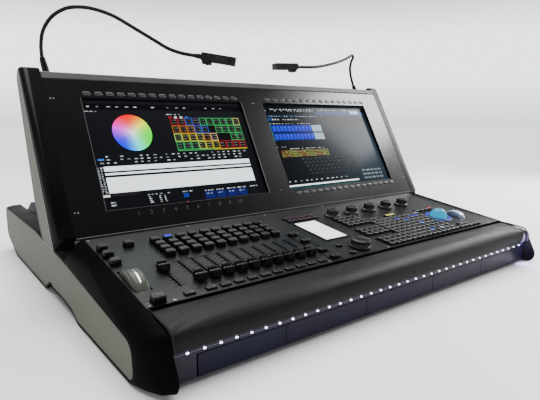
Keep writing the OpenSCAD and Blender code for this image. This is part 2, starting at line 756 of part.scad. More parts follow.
head_l = 86;
head_w = 28;
head_t = 20;
module lamp_head(route, dip, heading)
    at_desk() translate(route[len(route) - 1]) rotate([0, dip, heading]) difference() {
        union() {
            translate([0.2, -head_w / 2, -head_t / 2]) cube([head_l, head_w, head_t]);
            translate([3, -9, -head_t / 2 - 7]) cube([24, 18, 8]);
        }
        translate([32, -head_w / 2 + 3, -head_t / 2 - 1]) cube([head_l - 37, head_w - 6, 3]);
    }
module left_lamp_head() color([0.04, 0.04, 0.04]) lamp_head(left_route, 9, -36.9);
module right_lamp_head() color([0.04, 0.04, 0.04]) lamp_head(right_route, 3, 176);

base_tray();
left_cheek();
right_cheek();
cheek_insets();
control_panel();
rear_deck();
rear_housing();
rear_panel();
rear_sockets();
power_inlet();
wrist_rest();
front_rail();
led_lenses();
rubber_feet();
touchscreen();
panel_screws();
hinge_brackets();
control_modules();
circuit_board();
computer_module();
power_supply();
drawer_runners();
monitor_shell();
monitor_bezel();
monitor_cheeks();
monitor_cheek_insets();
left_screen();
right_screen();
monitor_top_strip();
hinge_arms();
lamp_sockets();
monitor_keys();
left_lamp_neck();
left_lamp_head();
right_lamp_neck();
right_lamp_head();
grand_master_fader();
channel_fader(1);  // fader_1
channel_fader(2);  // fader_2
channel_fader(3);  // fader_3
channel_fader(4);  // fader_4
channel_fader(5);  // fader_5
channel_fader(6);  // fader_6
channel_fader(7);  // fader_7
channel_fader(8);  // fader_8
channel_fader(9);  // fader_9
channel_fader(10);  // fader_10
rate_wheel();
intensity_wheel();
trackball();
jog_wheel();
encoder(1);  // encoder_1
encoder(2);  // encoder_2
encoder(3);  // encoder_3
encoder(4);  // encoder_4
encoder(5);  // encoder_5
playback_keys();
programmer_keys();
keyboard_drawer();
keyboard_keys();
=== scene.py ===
"""Looks of the lighting control desk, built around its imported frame.

Shapes are in millimetres. The camera, the lights and the depth of relief are in metres.
"""
import colorsys
import json
import math

import bmesh
import bpy
import numpy as np
from mathutils import Matrix, Vector


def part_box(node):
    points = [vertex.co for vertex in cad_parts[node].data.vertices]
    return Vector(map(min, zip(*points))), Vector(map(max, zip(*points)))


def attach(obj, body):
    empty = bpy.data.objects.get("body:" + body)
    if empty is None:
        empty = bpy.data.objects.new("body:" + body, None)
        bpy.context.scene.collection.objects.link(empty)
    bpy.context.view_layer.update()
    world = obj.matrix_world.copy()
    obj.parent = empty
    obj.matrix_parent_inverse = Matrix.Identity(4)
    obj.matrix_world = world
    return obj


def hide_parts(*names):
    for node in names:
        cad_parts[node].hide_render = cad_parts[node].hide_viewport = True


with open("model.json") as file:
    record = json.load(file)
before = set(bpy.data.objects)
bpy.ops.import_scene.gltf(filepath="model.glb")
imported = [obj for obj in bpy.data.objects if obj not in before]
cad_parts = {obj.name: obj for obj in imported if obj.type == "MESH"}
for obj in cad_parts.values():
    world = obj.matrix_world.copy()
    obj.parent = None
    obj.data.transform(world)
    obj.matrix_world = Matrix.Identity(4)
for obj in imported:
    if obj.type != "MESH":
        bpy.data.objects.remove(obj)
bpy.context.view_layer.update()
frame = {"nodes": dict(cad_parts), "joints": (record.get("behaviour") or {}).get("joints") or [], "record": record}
NODES = frame["nodes"]
JOINTS = {j["name"]: j for j in frame["joints"]}
BODY_OF = {n: body for body, nodes in frame["record"]["behaviour"]["bodies"].items() for n in nodes}
FADERS = ["grand_master_fader"] + [f"fader_{k}" for k in range(1, 11)]
MM = 0.001
JOIN_WITHIN = 0.02 * MM
X = Vector((1, 0, 0))


def new_object(name, data):
    item = bpy.data.objects.new(name, data)
    bpy.context.scene.collection.objects.link(item)
    return item


# -------- camera

CAMERA_PLACE = (-0.8730, -1.1916, 0.4196)
CAMERA_TURN = (80.60, 0.04, -37.52)
CAMERA_LENS = 31.73


def add_camera():
    data = bpy.data.cameras.new("camera")
    data.lens = CAMERA_LENS
    data.sensor_width = 36
    camera = new_object("camera", data)
    camera.location = CAMERA_PLACE
    camera.rotation_euler = [math.radians(a) for a in CAMERA_TURN]
    bpy.context.scene.camera = camera


add_camera()

# -------- local frames


def node_points(node):
    return np.array([v.co for v in NODES[node].data.vertices], float)


def node_box(node):
    """Lowest and highest corner of a CAD node, in millimetres."""
    return [np.array(corner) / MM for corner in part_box(node)]


def local_frame(node, up, out):
    """Millimetre frame on a flat part: x across, y up its slope, z out of its top face."""
    points = node_points(node)
    origin = up * float((points @ np.array(up)).min()) + out * float((points @ np.array(out)).max())
    m = Matrix((X, up, out)).transposed().to_4x4()
    m.translation = origin
    return m @ Matrix.Scale(MM, 4)


# Frames of the sloped control panel, of the monitor's face and of the desk itself
PANEL = local_frame("control_panel", Vector(JOINTS["fader_1_slide"]["axis"]),
                    Vector(JOINTS["jog_wheel_spin"]["axis"]))
FACE_OUT = -Vector(JOINTS["monitor_keys_press"]["axis"])
FACE = local_frame("monitor_bezel", FACE_OUT.cross(X), FACE_OUT)
DESK = Matrix.Scale(MM, 4)


def islands(node, local):
    """Box of every separate solid of a node, as (low, high) arrays in a local frame."""
    points = node_points(node)
    inverse_local = np.array(local.inverted())
    placed = points @ inverse_local[:3, :3].T + inverse_local[:3, 3]
    _, same = np.unique(np.round(points, 5), axis=0, return_inverse=True)
    same = same.ravel()
    parent = list(range(int(same.max()) + 1))

    def root_of(i):
        while parent[i] != i:
            parent[i] = parent[parent[i]]
            i = parent[i]
        return i

    for face in NODES[node].data.polygons:
        first = root_of(same[face.vertices[0]])
        for v in face.vertices[1:]:
            parent[root_of(same[v])] = first
    groups = {}
    for i, s in enumerate(same):
        groups.setdefault(root_of(s), []).append(i)
    boxes = [(placed[g].min(0), placed[g].max(0)) for g in groups.values()]
    return sorted(boxes, key=lambda b: (round(b[0][1]), round(b[0][0])))


# -------- materials

# The span of a noise value that most of a surface lies in
MIDDLE_RANGE = (0.35, 0.65)


def put(node, settings):
    for socket, value in settings.items():
        node.inputs[socket].default_value = value


def new_material(name, settings):
    """A node material whose shader has the given settings on its own sockets."""
    material = bpy.data.materials.new(name)
    material.use_nodes = True
    shader = material.node_tree.nodes["Principled BSDF"]
    put(shader, settings)
    return material, material.node_tree, shader


def scaled(color, factor):
    return [c * factor for c in color]


def noise(tree, scale, detail):
    where = tree.nodes.new("ShaderNodeTexCoord")
    texture = tree.nodes.new("ShaderNodeTexNoise")
    put(texture, {"Scale": scale, "Detail": detail})
    tree.links.new(where.outputs["Object"], texture.inputs["Vector"])
    return texture.outputs["Fac"]


def tones(tree, source, low, high):
    """Colour that runs from low to high as the source value crosses its middle range."""
    scale = tree.nodes.new("ShaderNodeValToRGB")
    for element, place, color in zip(scale.color_ramp.elements, MIDDLE_RANGE, (low, high)):
        element.position = place
        element.color = [min(1, c) for c in color] + [1]
    tree.links.new(source, scale.inputs["Fac"])
    return scale.outputs["Color"]


def ramp(tree, source, low, high):
    """Number that runs from low to high as the source value crosses its middle range."""
    mapped = tree.nodes.new("ShaderNodeMapRange")
    put(mapped, {"From Min": MIDDLE_RANGE[0], "From Max": MIDDLE_RANGE[1], "To Min": low, "To Max": high})
    tree.links.new(source, mapped.inputs["Value"])
    return mapped.outputs["Result"]


def relief(tree, source, strength, depth, shader):
    """Raises the surface in the shader where the source value is high."""
    bump = tree.nodes.new("ShaderNodeBump")
    put(bump, {"Strength": strength, "Distance": depth})
    tree.links.new(source, bump.inputs["Height"])
    tree.links.new(bump.outputs["Normal"], shader.inputs["Normal"])


def surface(name, color, rough, grain, bump, vary=0.25, blotch=6.0, gloss=0.3, metal=0.0, coat=0.0):
    """A finish whose colour and roughness drift over the surface, with a fine grain in relief."""
    material, tree, shader = new_material(name, {
        "Metallic": metal, "Specular IOR Level": gloss, "Coat Weight": coat, "Coat Roughness": 0.12})
    drift = noise(tree, blotch, 4.0)
    tree.links.new(tones(tree, drift, scaled(color, 1 - vary), scaled(color, 1 + vary)),
                   shader.inputs["Base Color"])
    fine = noise(tree, grain, 2.0)
    tree.links.new(ramp(tree, drift, rough * 0.88, min(1, rough * 1.12)), shader.inputs["Roughness"])
    relief(tree, fine, bump, 0.0004, shader)
    return material


def leatherette(name):
    """Grained black leatherette: cells of two sizes in relief under a satin sheen."""
    material, tree, shader = new_material(name, {"Specular IOR Level": 0.11, "Sheen Weight": 0.01})
    where = tree.nodes.new("ShaderNodeTexCoord")
    total = tree.nodes.new("ShaderNodeMath")
    total.operation = "ADD"
    for k, scale in enumerate((420.0, 1100.0)):
        cell = tree.nodes.new("ShaderNodeTexVoronoi")
        cell.feature = "SMOOTH_F1"
        put(cell, {"Scale": scale})
        tree.links.new(where.outputs["Object"], cell.inputs["Vector"])
        tree.links.new(cell.outputs["Distance"], total.inputs[k])
    relief(tree, total.outputs["Value"], 0.35, 0.0006, shader)
    drift = noise(tree, 4.0, 3.0)
    tree.links.new(ramp(tree, drift, 0.40, 0.54), shader.inputs["Roughness"])
    tree.links.new(tones(tree, drift, (0.0025, 0.0025, 0.0030), (0.0060, 0.0060, 0.0065)),
                   shader.inputs["Base Color"])
    return material


def lit(name, color, strength, base=0.05, rough=0.3):
    """A translucent lit surface: its glow drifts a little over the surface."""
    material, tree, shader = new_material(name, {
        "Base Color": scaled(color, base) + [1], "Roughness": rough,
        "Emission Strength": strength, "Specular IOR Level": 0.12})
    drift = noise(tree, 60.0, 2.0)
    tree.links.new(tones(tree, drift, scaled(color, 0.8), color), shader.inputs["Emission Color"])
    return material


def painted_light(name, strength):
    """Emits the colour that each corner of the mesh carries, as a display does."""
    material, tree, shader = new_material(name, {
        "Base Color": (0.004, 0.004, 0.005, 1), "Roughness": 0.16,
        "Specular IOR Level": 0.07, "Emission Strength": strength})
    color = tree.nodes.new("ShaderNodeVertexColor")
    color.layer_name = "picture"
    tree.links.new(color.outputs["Color"], shader.inputs["Emission Color"])
    return material


def grey(value):
    return (value, value, value)


# A surface's numbers are its name, colour, roughness, grain scale and grain height
FINISH = {
    "moulding": surface("black_moulding", grey(0.003), 0.45, 1400, 0.22, gloss=0.01),
    "satin_moulding": surface("satin_moulding", grey(0.003), 0.32, 1400, 0.15, gloss=0.09),
    "inset": surface("grey_inset", (0.080, 0.089, 0.066), 0.50, 1800, 0.05, vary=0.08, blotch=3, gloss=0.08),
    "panel": surface("panel_paint", (0.0046, 0.0060, 0.0054), 0.34, 2200, 0.10, vary=0.12, gloss=0.18),
    "chassis": surface("chassis_paint", (0.006, 0.006, 0.007), 0.48, 1500, 0.20, gloss=0.03),
    "bezel": surface("bezel_gloss", (0.0020, 0.0020, 0.0032), 0.24, 2500, 0.03, blotch=2, gloss=0.5),
    "glass": surface("screen_glass", (0.002, 0.002, 0.003), 0.10, 2500, 0.01, blotch=2, gloss=0.2),
    "strip": surface("grey_strip", (0.062, 0.064, 0.062), 0.45, 2000, 0.06, vary=0.1),
    "soft_key": surface("soft_key_metal", (0.045, 0.045, 0.048), 0.30, 2500, 0.03, vary=0.1, metal=0.2),
    "steel": surface("hinge_steel", (0.30, 0.30, 0.31), 0.34, 1200, 0.1, metal=1.0),
    "chrome": surface("bright_metal", (0.62, 0.62, 0.63), 0.14, 900, 0.03, vary=0.08, metal=1.0),
    "alloy": surface("module_alloy", (0.45, 0.45, 0.46), 0.38, 700, 0.1, metal=1.0),
    "plastic": surface("black_plastic", (0.0030, 0.0030, 0.0034), 0.35, 1600, 0.12, gloss=0.15),
    "key": surface("key_body", (0.0030, 0.0030, 0.0033), 0.34, 2000, 0.08, gloss=0.15),
    "key_top": surface("key_top", (0.008, 0.0085, 0.0085), 0.30, 2400, 0.08, vary=0.3, blotch=40, gloss=0.2),
    # A lighter grey: on key cap rims and knob edges it is a painted highlight, and on the lamp fins and dimmer
    # wheels it is a plain dark grey
    "grey_and_painted_rim_highlight": surface("grey_and_painted_rim_highlight", (0.020, 0.022, 0.022), 0.24, 2400, 0.04, vary=0.35, blotch=60, gloss=0.2),
    "knob": surface("knob_black", grey(0.0035), 0.28, 1500, 0.10, gloss=0.25),
    "rubber": surface("foot_rubber", grey(0.01), 0.75, 800, 0.3),
    "neck": surface("neck_sleeve", grey(0.003), 0.42, 1200, 0.15, gloss=0.15),
    "smoke": surface("smoked_drum", (0.050, 0.056, 0.044), 0.30, 1500, 0.04, blotch=30, gloss=0.15),
    "clear": surface("clear_wheel", (0.20, 0.24, 0.36), 0.16, 1500, 0.04, blotch=50, metal=0.3, coat=0.4),
    "board": surface("board_green", (0.010, 0.085, 0.035), 0.35, 700, 0.2),
    "rail": surface("rail_metal", (0.010, 0.009, 0.020), 0.34, 1500, 0.05, metal=0.3),
    "drawer": surface("drawer_paint", (0.0034, 0.0022, 0.0165), 0.34, 1800, 0.08, gloss=0.15),
    "marking": surface("white_marking", (0.20, 0.21, 0.21), 0.5, 2000, 0.05, vary=0.1),
    "faint_marking": surface("faint_marking", (0.035, 0.036, 0.038), 0.5, 2000, 0.05, vary=0.1),
    "dark_marking": surface("dark_marking", grey(0.002), 0.5, 2000, 0.05, gloss=0.0),
    "leather": leatherette("leatherette"),
    "led": lit("light_points", (0.86, 0.88, 1.0), 6.0, base=0.6),
    "led_band": lit("light_band", (0.62, 0.60, 0.90), 0.10, base=0.1),
    "blue": lit("lit_blue", (0.0, 0.008, 1.0), 1.3),
    "cyan": lit("lit_cyan", (0.0, 0.16, 1.0), 1.6),
    "yellow": lit("lit_yellow", (0.80, 0.72, 0.01), 1.4),
    "white": lit("lit_white", (0.60, 0.75, 1.0), 0.8),
    "red": lit("lit_red", (1.0, 0.01, 0.01), 1.0),
    "magenta": lit("lit_magenta", (0.45, 0.02, 0.35), 0.12),
    "ball": lit("ball_glow", (0.0, 0.42, 0.70), 1.15, base=0.01, rough=0.18),
    "ring": lit("ring_glow", (0.0, 0.02, 0.95), 1.3),
    "display": painted_light("display_light", 2.2),
}

# -------- making pieces


def add_piece(name, bm, body, materials, local, smooth=40.0, bevel=0.0, replaces=()):
    """Turns a bmesh into a finished piece that rides on a body."""
    if local is not None:
        bmesh.ops.transform(bm, matrix=local, verts=bm.verts)
    bmesh.ops.recalc_face_normals(bm, faces=bm.faces)
    mesh = bpy.data.meshes.new(name)
    bm.to_mesh(mesh)
    bm.free()
    for key in materials:
        mesh.materials.append(FINISH[key])
    mesh.polygons.foreach_set("use_smooth", [True] * len(mesh.polygons))
    mesh.set_sharp_from_angle(angle=math.radians(smooth))
    piece = new_object(name, mesh)
    if bevel:
        edge = piece.modifiers.new("edge", "BEVEL")
        edge.width = bevel * MM
        edge.segments = 3
        edge.limit_method = "ANGLE"
        edge.angle_limit = math.radians(smooth)
        edge.harden_normals = True
        edge.use_clamp_overlap = True
    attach(piece, body)
    if replaces:
        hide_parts(*replaces)
    return piece


def stand_in(name, node, bm, materials, smooth, local, bevel=0.0):
    """A finished piece that replaces a CAD node, on the node's own body."""
    add_piece(name, bm, BODY_OF[node], materials, local, smooth, bevel, [node])


def cad_shape(node):
    """A copy of a CAD node's mesh whose faces share their corners."""
    bm = bmesh.new()
    bm.from_mesh(NODES[node].data)
    bmesh.ops.remove_doubles(bm, verts=bm.verts, dist=JOIN_WITHIN)
    return bm


def refined(node, material, bevel, smooth=30.0):
    """The CAD node's own shape with its hard edges rounded off."""
    bm = cad_shape(node)
    bmesh.ops.dissolve_limit(bm, angle_limit=math.radians(0.6), verts=bm.verts, edges=bm.edges)
    for face in bm.faces:
        face.material_index = 0
    stand_in(node + "_finish", node, bm, [material], smooth, None, bevel)


def paint(material, *nodes):
    """Gives carried-over CAD nodes a finish, and leaves their shape alone."""
    for node in nodes:
        NODES[node].data.materials.clear()
        NODES[node].data.materials.append(FINISH[material])


def add_box(bm, low, high, index=0):
    corners = [bm.verts.new((x, y, z)) for z in (low[2], high[2])
               for y in (low[1], high[1]) for x in (low[0], high[0])]
    for loop in ((0, 2, 3, 1), (4, 5, 7, 6), (0, 1, 5, 4), (2, 6, 7, 3), (0, 4, 6, 2), (1, 3, 7, 5)):
        bm.faces.new([corners[i] for i in loop]).material_index = index


def rounded_ring(low, high, inset, radius):
    """Points of a rounded rectangle, shrunk by inset on every side."""
    steps = 5
    x0, y0, x1, y1 = low[0] + inset, low[1] + inset, high[0] - inset, high[1] - inset
    r = max(0.1, min(radius - inset * 0.5, (x1 - x0) / 2, (y1 - y0) / 2))
    centres = ((x1 - r, y1 - r, 0), (x0 + r, y1 - r, 90), (x0 + r, y0 + r, 180), (x1 - r, y0 + r, 270))
    return [(cx + r * math.cos(math.radians(a0 + 90 * k / (steps - 1))),
             cy + r * math.sin(math.radians(a0 + 90 * k / (steps - 1))))
            for cx, cy, a0 in centres for k in range(steps)]


def bridge(bm, lower, upper, index):
    n = len(lower)
    for k in range(n):
        face = bm.faces.new((lower[k], lower[(k + 1) % n], upper[(k + 1) % n], upper[k]))
        face.material_index = index


def add_cap(bm, low, high, levels, radius, top_index, dish):
    """A key cap: rounded rings from bottom to top as (height, inset, material), then a dished top."""
    rings = []
    for z, inset, _ in levels:
        rings.append([bm.verts.new((x, y, z)) for x, y in rounded_ring(low, high, inset, radius)])
    for k in range(len(rings) - 1):
        bridge(bm, rings[k], rings[k + 1], levels[k + 1][2])
    centre = bm.verts.new(((low[0] + high[0]) / 2, (low[1] + high[1]) / 2, levels[-1][0] - dish))
    last = rings[-1]
    for k in range(len(last)):
        bm.faces.new((last[k], last[(k + 1) % len(last)], centre)).material_index = top_index
    bm.faces.new(list(reversed(rings[0]))).material_index = levels[1][2]


def lathe(bm, profile, segments, flutes=0, centre=(0, 0, 0), closed=False):
    """Turned shape, or a closed ring. A profile entry is (radius, height, flute depth, material of the
    band below it), and the last two are 0 where they are left out."""
    profile = [(*entry, 0, 0)[:4] for entry in profile]
    rings = []
    for radius, z, depth, _ in profile:
        ring = []
        for k in range(segments):
            a = 2 * math.pi * k / segments
            r = radius - (depth * (0.5 - 0.5 * math.cos(flutes * a)) if flutes else 0)
            ring.append(bm.verts.new(Vector(centre) + Vector((r * math.cos(a), r * math.sin(a), z))))
        rings.append(ring)
    for k in range(len(rings) - 1):
        bridge(bm, rings[k], rings[k + 1], profile[k + 1][3])
    if closed:
        bridge(bm, rings[-1], rings[0], profile[0][3])
    else:
        bm.faces.new(list(reversed(rings[0]))).material_index = profile[1][3]
        bm.faces.new(rings[-1]).material_index = profile[-1][3]


def at(x, y, z=0.0):
    return Matrix.Translation((x, y, z))


# -------- keys

# Lit keys as [x, distance up the panel, material]
LIT_KEYS = [
    (263, 174, "yellow"), (274, 120, "blue"), (252, 137, "blue"), (320, 137, "blue"), (342, 137, "blue"),
    (298, 85, "cyan"), (274, 32, "cyan"), (320, 32, "white"), (364, 155, "white"), (458, 172, "red"),
    (-415, 264, "blue"),
]
KEY_MATERIALS = ["key", "grey_and_painted_rim_highlight", "key_top", "blue", "cyan", "yellow", "white", "red", "magenta"]
MAGENTA_BLOCK = (-70, 60, 245)
# How far a key's middle may be from where a lit key is listed
KEY_REACH = (12, 9)
TALL_KEY = 8


def cap_material(x, s):
    """The top material of the key at this place on the panel, as an index in KEY_MATERIALS."""
    left, right, lowest = MAGENTA_BLOCK
    if s > lowest and left < x < right:
        return KEY_MATERIALS.index("magenta")
    for lx, ls, name in LIT_KEYS:
        if abs(lx - x) < KEY_REACH[0] and abs(ls - s) < KEY_REACH[1]:
            return KEY_MATERIALS.index(name)
    return KEY_MATERIALS.index("key_top")


def panel_keys(node):
    bm = bmesh.new()
    for low, high in islands(node, PANEL):
        centre = (low + high) / 2
        top = high[2]
        tall = top > TALL_KEY
        soft = 3.2 if tall else 1.9
        # The two rings near the top of each cap take the lighter rim grey as a painted highlight
        levels = [(low[2], 0.0, 0), (top - soft, 0.0, 0), (top - soft * 0.45, 0.45, 0),
                  (top - 0.25, 1.35, 1), (top, 2.1, 1), (top - 0.15, 3.0, 2)]
        add_cap(bm, low, high, levels, 4.2 if tall else 2.4, cap_material(centre[0], centre[1]),
                0.9 if tall else 0.35)
    stand_in(node + "_caps", node, bm, KEY_MATERIALS, 34, PANEL)


def keyboard_caps():
    bm = bmesh.new()
    for low, high in islands("keyboard_keys", DESK):
        top = high[2]
        # The ring at the top edge of each cap takes the lighter rim grey as a painted highlight
        levels = [(low[2], 0.0, 0), (low[2] + 1.0, 0.0, 0), (top - 0.7, 1.8, 0), (top, 2.6, 1),
                  (top - 0.1, 3.2, 2)]
        add_cap(bm, low, high, levels, 2.0, 2, 0.7)
    stand_in("keyboard_caps", "keyboard_keys", bm, KEY_MATERIALS, 34, DESK)


def soft_keys():
    bm = bmesh.new()
    for low, high in islands("monitor_keys", FACE):
        top = high[2]
        levels = [(low[2], 0, 0), (top - 1.2, 0, 0), (top - 0.5, 0.5, 1), (top - 0.1, 1.6, 1), (top, 3.0, 1)]
        add_cap(bm, low, high, levels, 4.5, 1, -0.05)
    stand_in("monitor_soft_key_caps", "monitor_keys", bm, ["key", "soft_key"], 60, FACE)


panel_keys("playback_keys")
panel_keys("programmer_keys")
keyboard_caps()
soft_keys()

# -------- knobs and wheels


def panel_centre(node):
    """Where a control stands on the panel, in the panel's frame, from its own box."""
    low, high = islands(node, PANEL)[0]
    return (low + high) / 2, low, high


def encoder_knob(number):
    node = f"encoder_{number}"
    centre, low, high = panel_centre(node)
    top = high[2]
    bm = bmesh.new()
    # The skirt's chamfer and the knob's top edge take the lighter rim grey as a painted highlight
    lathe(bm, [
        (20.0, 1.0), (23.0, 1.0), (23.0, 3.6), (22.4, 4.6, 0, 1), (21.0, 5.2, 0, 1),
        (18.4, 5.6), (17.4, 6.4)], 96, 0)
    lathe(bm, [
        (17.0, 5.5), (17.0, 7.0, 1.2), (16.3, top - 3.4, 1.1), (15.9, top - 2.2, 0.3),
        (15.3, top - 1.2, 0, 1), (14.4, top - 0.4, 0, 1), (12.6, top - 0.2, 0, 1), (12.0, top - 0.9, 0, 2),
        (4.0, top - 1.3, 0, 2)], 120, 30)
    lathe(bm, [(3.0, low[2]), (3.0, 5.0)], 24)
    add_box(bm, (-0.7, 13.0, top - 0.6), (0.7, 16.0, top - 0.05), 3)
    stand_in(node + "_knob", node, bm, ["knob", "grey_and_painted_rim_highlight", "plastic", "marking"], 35,
             PANEL @ at(*centre[:2]))


def jog_knob():
    centre, low, high = panel_centre("jog_wheel")
    top, radius = high[2], (high[0] - low[0]) / 2
    bm = bmesh.new()
    # The skirt's chamfer and the knob's top edge take the lighter rim grey as a painted highlight
    lathe(bm, [
        (radius - 3, 1.0), (radius, 1.0), (radius, 3.8), (radius - 0.8, 4.8, 0, 1),
        (radius - 2.4, 5.1, 0, 1), (radius - 3.2, 5.4), (radius - 3.2, 6.0, 1.3),
        (radius - 3.8, top - 3.5, 1.2), (radius - 4.2, top - 2.0, 0.2), (radius - 5.2, top - 0.6, 0, 1),
        (radius - 7.0, top, 0, 1), (radius - 9.5, top - 1.0, 0, 2), (4.0, top - 1.8, 0, 2)], 144, 36)
    lathe(bm, [(4.0, low[2]), (4.0, 3.0)], 24)
    finger_dish = (12.0, 0, 0)
    lathe(bm, [(7.0, top - 1.9, 0, 1), (6.6, top - 1.0, 0, 1), (5.6, top - 1.2, 0, 2),
               (2.0, top - 3.0, 0, 2)], 32, 0, finger_dish)
    stand_in("jog_wheel_knob", "jog_wheel", bm, ["knob", "grey_and_painted_rim_highlight", "plastic"], 35,
             PANEL @ at(*centre[:2]))


def thumb_drum(node, materials, flutes, rim, groove):
    """A drum on an axle across the panel, with a ribbed or grooved tread between bright rims."""
    centre, low, high = panel_centre(node)
    half, radius = (high[0] - low[0]) / 2, (high[2] - low[2]) / 2
    bm = bmesh.new()
    side = [(4.4, half), (radius - 9, half), (radius - 4.5, half - 0.6), (radius - 1.8, half - 1.8),
            (radius - 0.3, half - 4.0), (radius, half - rim), (radius - 0.1, 1.6, groove)]
    lathe(bm, [(r, -z, *depth) for r, z, *depth in side] + [(radius, -1.0, 0, 1), (radius, 1.0, 0, 1)]
          + side[::-1], 160, flutes)
    turn = Matrix.Rotation(math.radians(90), 4, "Y")
    stand_in(node + "_drum", node, bm, materials, 35, PANEL @ at(*centre) @ turn)


for n in range(1, 6):
    encoder_knob(n)
jog_knob()
thumb_drum("rate_wheel", ["smoke", "chrome"], 0, 6.0, 0.0)
thumb_drum("intensity_wheel", ["clear", "chrome"], 40, 5.0, 0.8)


def trackball_surround():
    centre, low, high = panel_centre("trackball")
    radius = (high[0] - low[0]) / 2
    bm = bmesh.new()
    lathe(bm, [
        (radius + 15.5, 0.05), (radius + 15.0, 1.6), (radius + 12.8, 2.6),
        (radius + 11.0, 2.4, 0, 1), (radius + 6.5, 2.2, 0, 1), (radius + 5.0, 2.8),
        (radius + 2.6, 3.2), (radius + 1.3, 2.0), (radius + 1.2, 0.05)], 96, closed=True)
    add_piece("trackball_ring", bm, "root", ["plastic", "ring"],
              PANEL @ at(*centre[:2]))


trackball_surround()
paint("ball", "trackball")
for n in FADERS[1:] + FADERS[:1]:
    refined(n, "knob", 0.7, 25)

# -------- panel markings


def panel_markings():
    """Printed scales beside every fader slot and short lines at the panel's edges."""
    bm = bmesh.new()

    def printed(x0, s0, x1, s1, index):
        add_box(bm, (x0, s0, 0.02), (x1, s1, 0.12), index)

    for x in [panel_centre(n)[0][0] for n in FADERS]:
        printed(x - 2.6, 46, x - 1.5, 156, 1)
        printed(x + 1.5, 46, x + 2.6, 156, 1)
        for k in range(9):
            long = 10.5 if k % 4 == 0 else 8.5
            s = 51 + 12.5 * k
            printed(x - long, s - 1.1, x - 3.0, s + 1.1, 1)
            printed(x + 3.0, s - 1.1, x + long, s + 1.1, 1)
    for x, s in ((-570, 15), (-150, 28), (52, 15), (570, 15)):
        printed(x - 3, s - 0.5, x + 3, s + 0.5, 0)
    add_piece("panel_markings", bm, "root", ["marking", "dark_marking"], PANEL)


def key_group_trims():
    """Low black frames that the key blocks sit in."""
    bm = bmesh.new()
    for x0, s0, x1, s1 in ((64, 149, 154, 225), (59, 75, 150, 134), (63, 5, 153, 61), (152, 5, 288, 166),
                           (287, 5, 376, 166), (-70, 244, 44, 281), (-137, 5, -107, 179)):
        for low, high in (((x0, s0), (x1, s0 + 1.6)), ((x0, s1 - 1.6), (x1, s1)),
                          ((x0, s0), (x0 + 1.6, s1)), ((x1 - 1.6, s0), (x1, s1))):
            add_box(bm, (*low, 0.02), (*high, 0.9))
    add_piece("key_group_trims", bm, "root", ["plastic"], PANEL)


panel_markings()
key_group_trims()

# -------- wrist rest

# Millimetres: the most that a point may swell, how far the pad starts inside its CAD shape, the
# grid it is remeshed on, and the width of the held strip along its bottom, back and ends
PAD_SWELL, PAD_START, PAD_GRID, PAD_HOLD = 5.0, 2.0, 6, 8
PAD_FRAMES = 20


def applied(piece):
    """The piece's mesh as its modifiers leave it."""
    return bpy.data.meshes.new_from_object(piece.evaluated_get(bpy.context.evaluated_depsgraph_get()))


def swell(piece):
    """Inflates the pad as stuffing does, and limits how far any point may move."""
    scene = bpy.context.scene
    remesh = piece.modifiers.new("remesh", "REMESH")
    remesh.mode = "VOXEL"
    remesh.voxel_size = PAD_GRID * MM
    bpy.context.view_layer.update()
    mesh = applied(piece)
    piece.modifiers.clear()
    piece.data = mesh
    before = np.array([v.co for v in mesh.vertices], float)
    low, high = before.min(0), before.max(0)
    hold = piece.vertex_groups.new(name="hold")
    for v in mesh.vertices:
        flat_bottom = v.co.z < low[2] + PAD_HOLD * MM
        back_edge = v.co.y > high[1] - PAD_HOLD * MM
        end = abs(v.co.x) > high[0] - PAD_HOLD * MM
        hold.add([v.index], 1.0 if flat_bottom or back_edge or end else 0.0, "REPLACE")
    cloth = piece.modifiers.new("cloth", "CLOTH")
    fabric = cloth.settings
    fabric.quality = 4
    fabric.mass = 0.3
    fabric.tension_stiffness = fabric.compression_stiffness = 12
    fabric.bending_stiffness = 1.5
    fabric.use_pressure = True
    fabric.uniform_pressure_force = 4
    fabric.effector_weights.gravity = 0
    fabric.vertex_group_mass = hold.name
    cloth.collision_settings.use_collision = False
    cloth.point_cache.frame_start, cloth.point_cache.frame_end = 1, PAD_FRAMES
    for number in range(1, PAD_FRAMES + 1):
        scene.frame_set(number)
    shaped = applied(piece)
    after = np.array([v.co for v in shaped.vertices], float)
    move = after - before
    far = np.linalg.norm(move, axis=1, keepdims=True)
    after = before + move * np.minimum(1, PAD_SWELL * MM / np.maximum(far, 1e-9))
    piece.modifiers.clear()
    shaped.vertices.foreach_set("co", after.ravel())
    piece.data = shaped
    scene.frame_set(1)


def wrist_rest():
    low, high = node_box("wrist_rest")
    bm = cad_shape("wrist_rest")
    middle = Vector(((low[0] + high[0]) / 2 * MM, (low[1] + high[1]) / 2 * MM, low[2] * MM))
    size = high - low
    shrink = [(s - 2 * PAD_START) / s for s in size[:2]] + [(size[2] - PAD_START) / size[2]]
    for v in bm.verts:
        v.co = middle + Vector([(v.co[k] - middle[k]) * shrink[k] for k in range(3)])
    piece = add_piece("wrist_rest_pad", bm, "root", ["leather"], None, 180, 0, ["wrist_rest"])
    swell(piece)
    piece.data.polygons.foreach_set("use_smooth", [True] * len(piece.data.polygons))
    smooth = piece.modifiers.new("smooth", "SUBSURF")
    smooth.levels = smooth.render_levels = 1


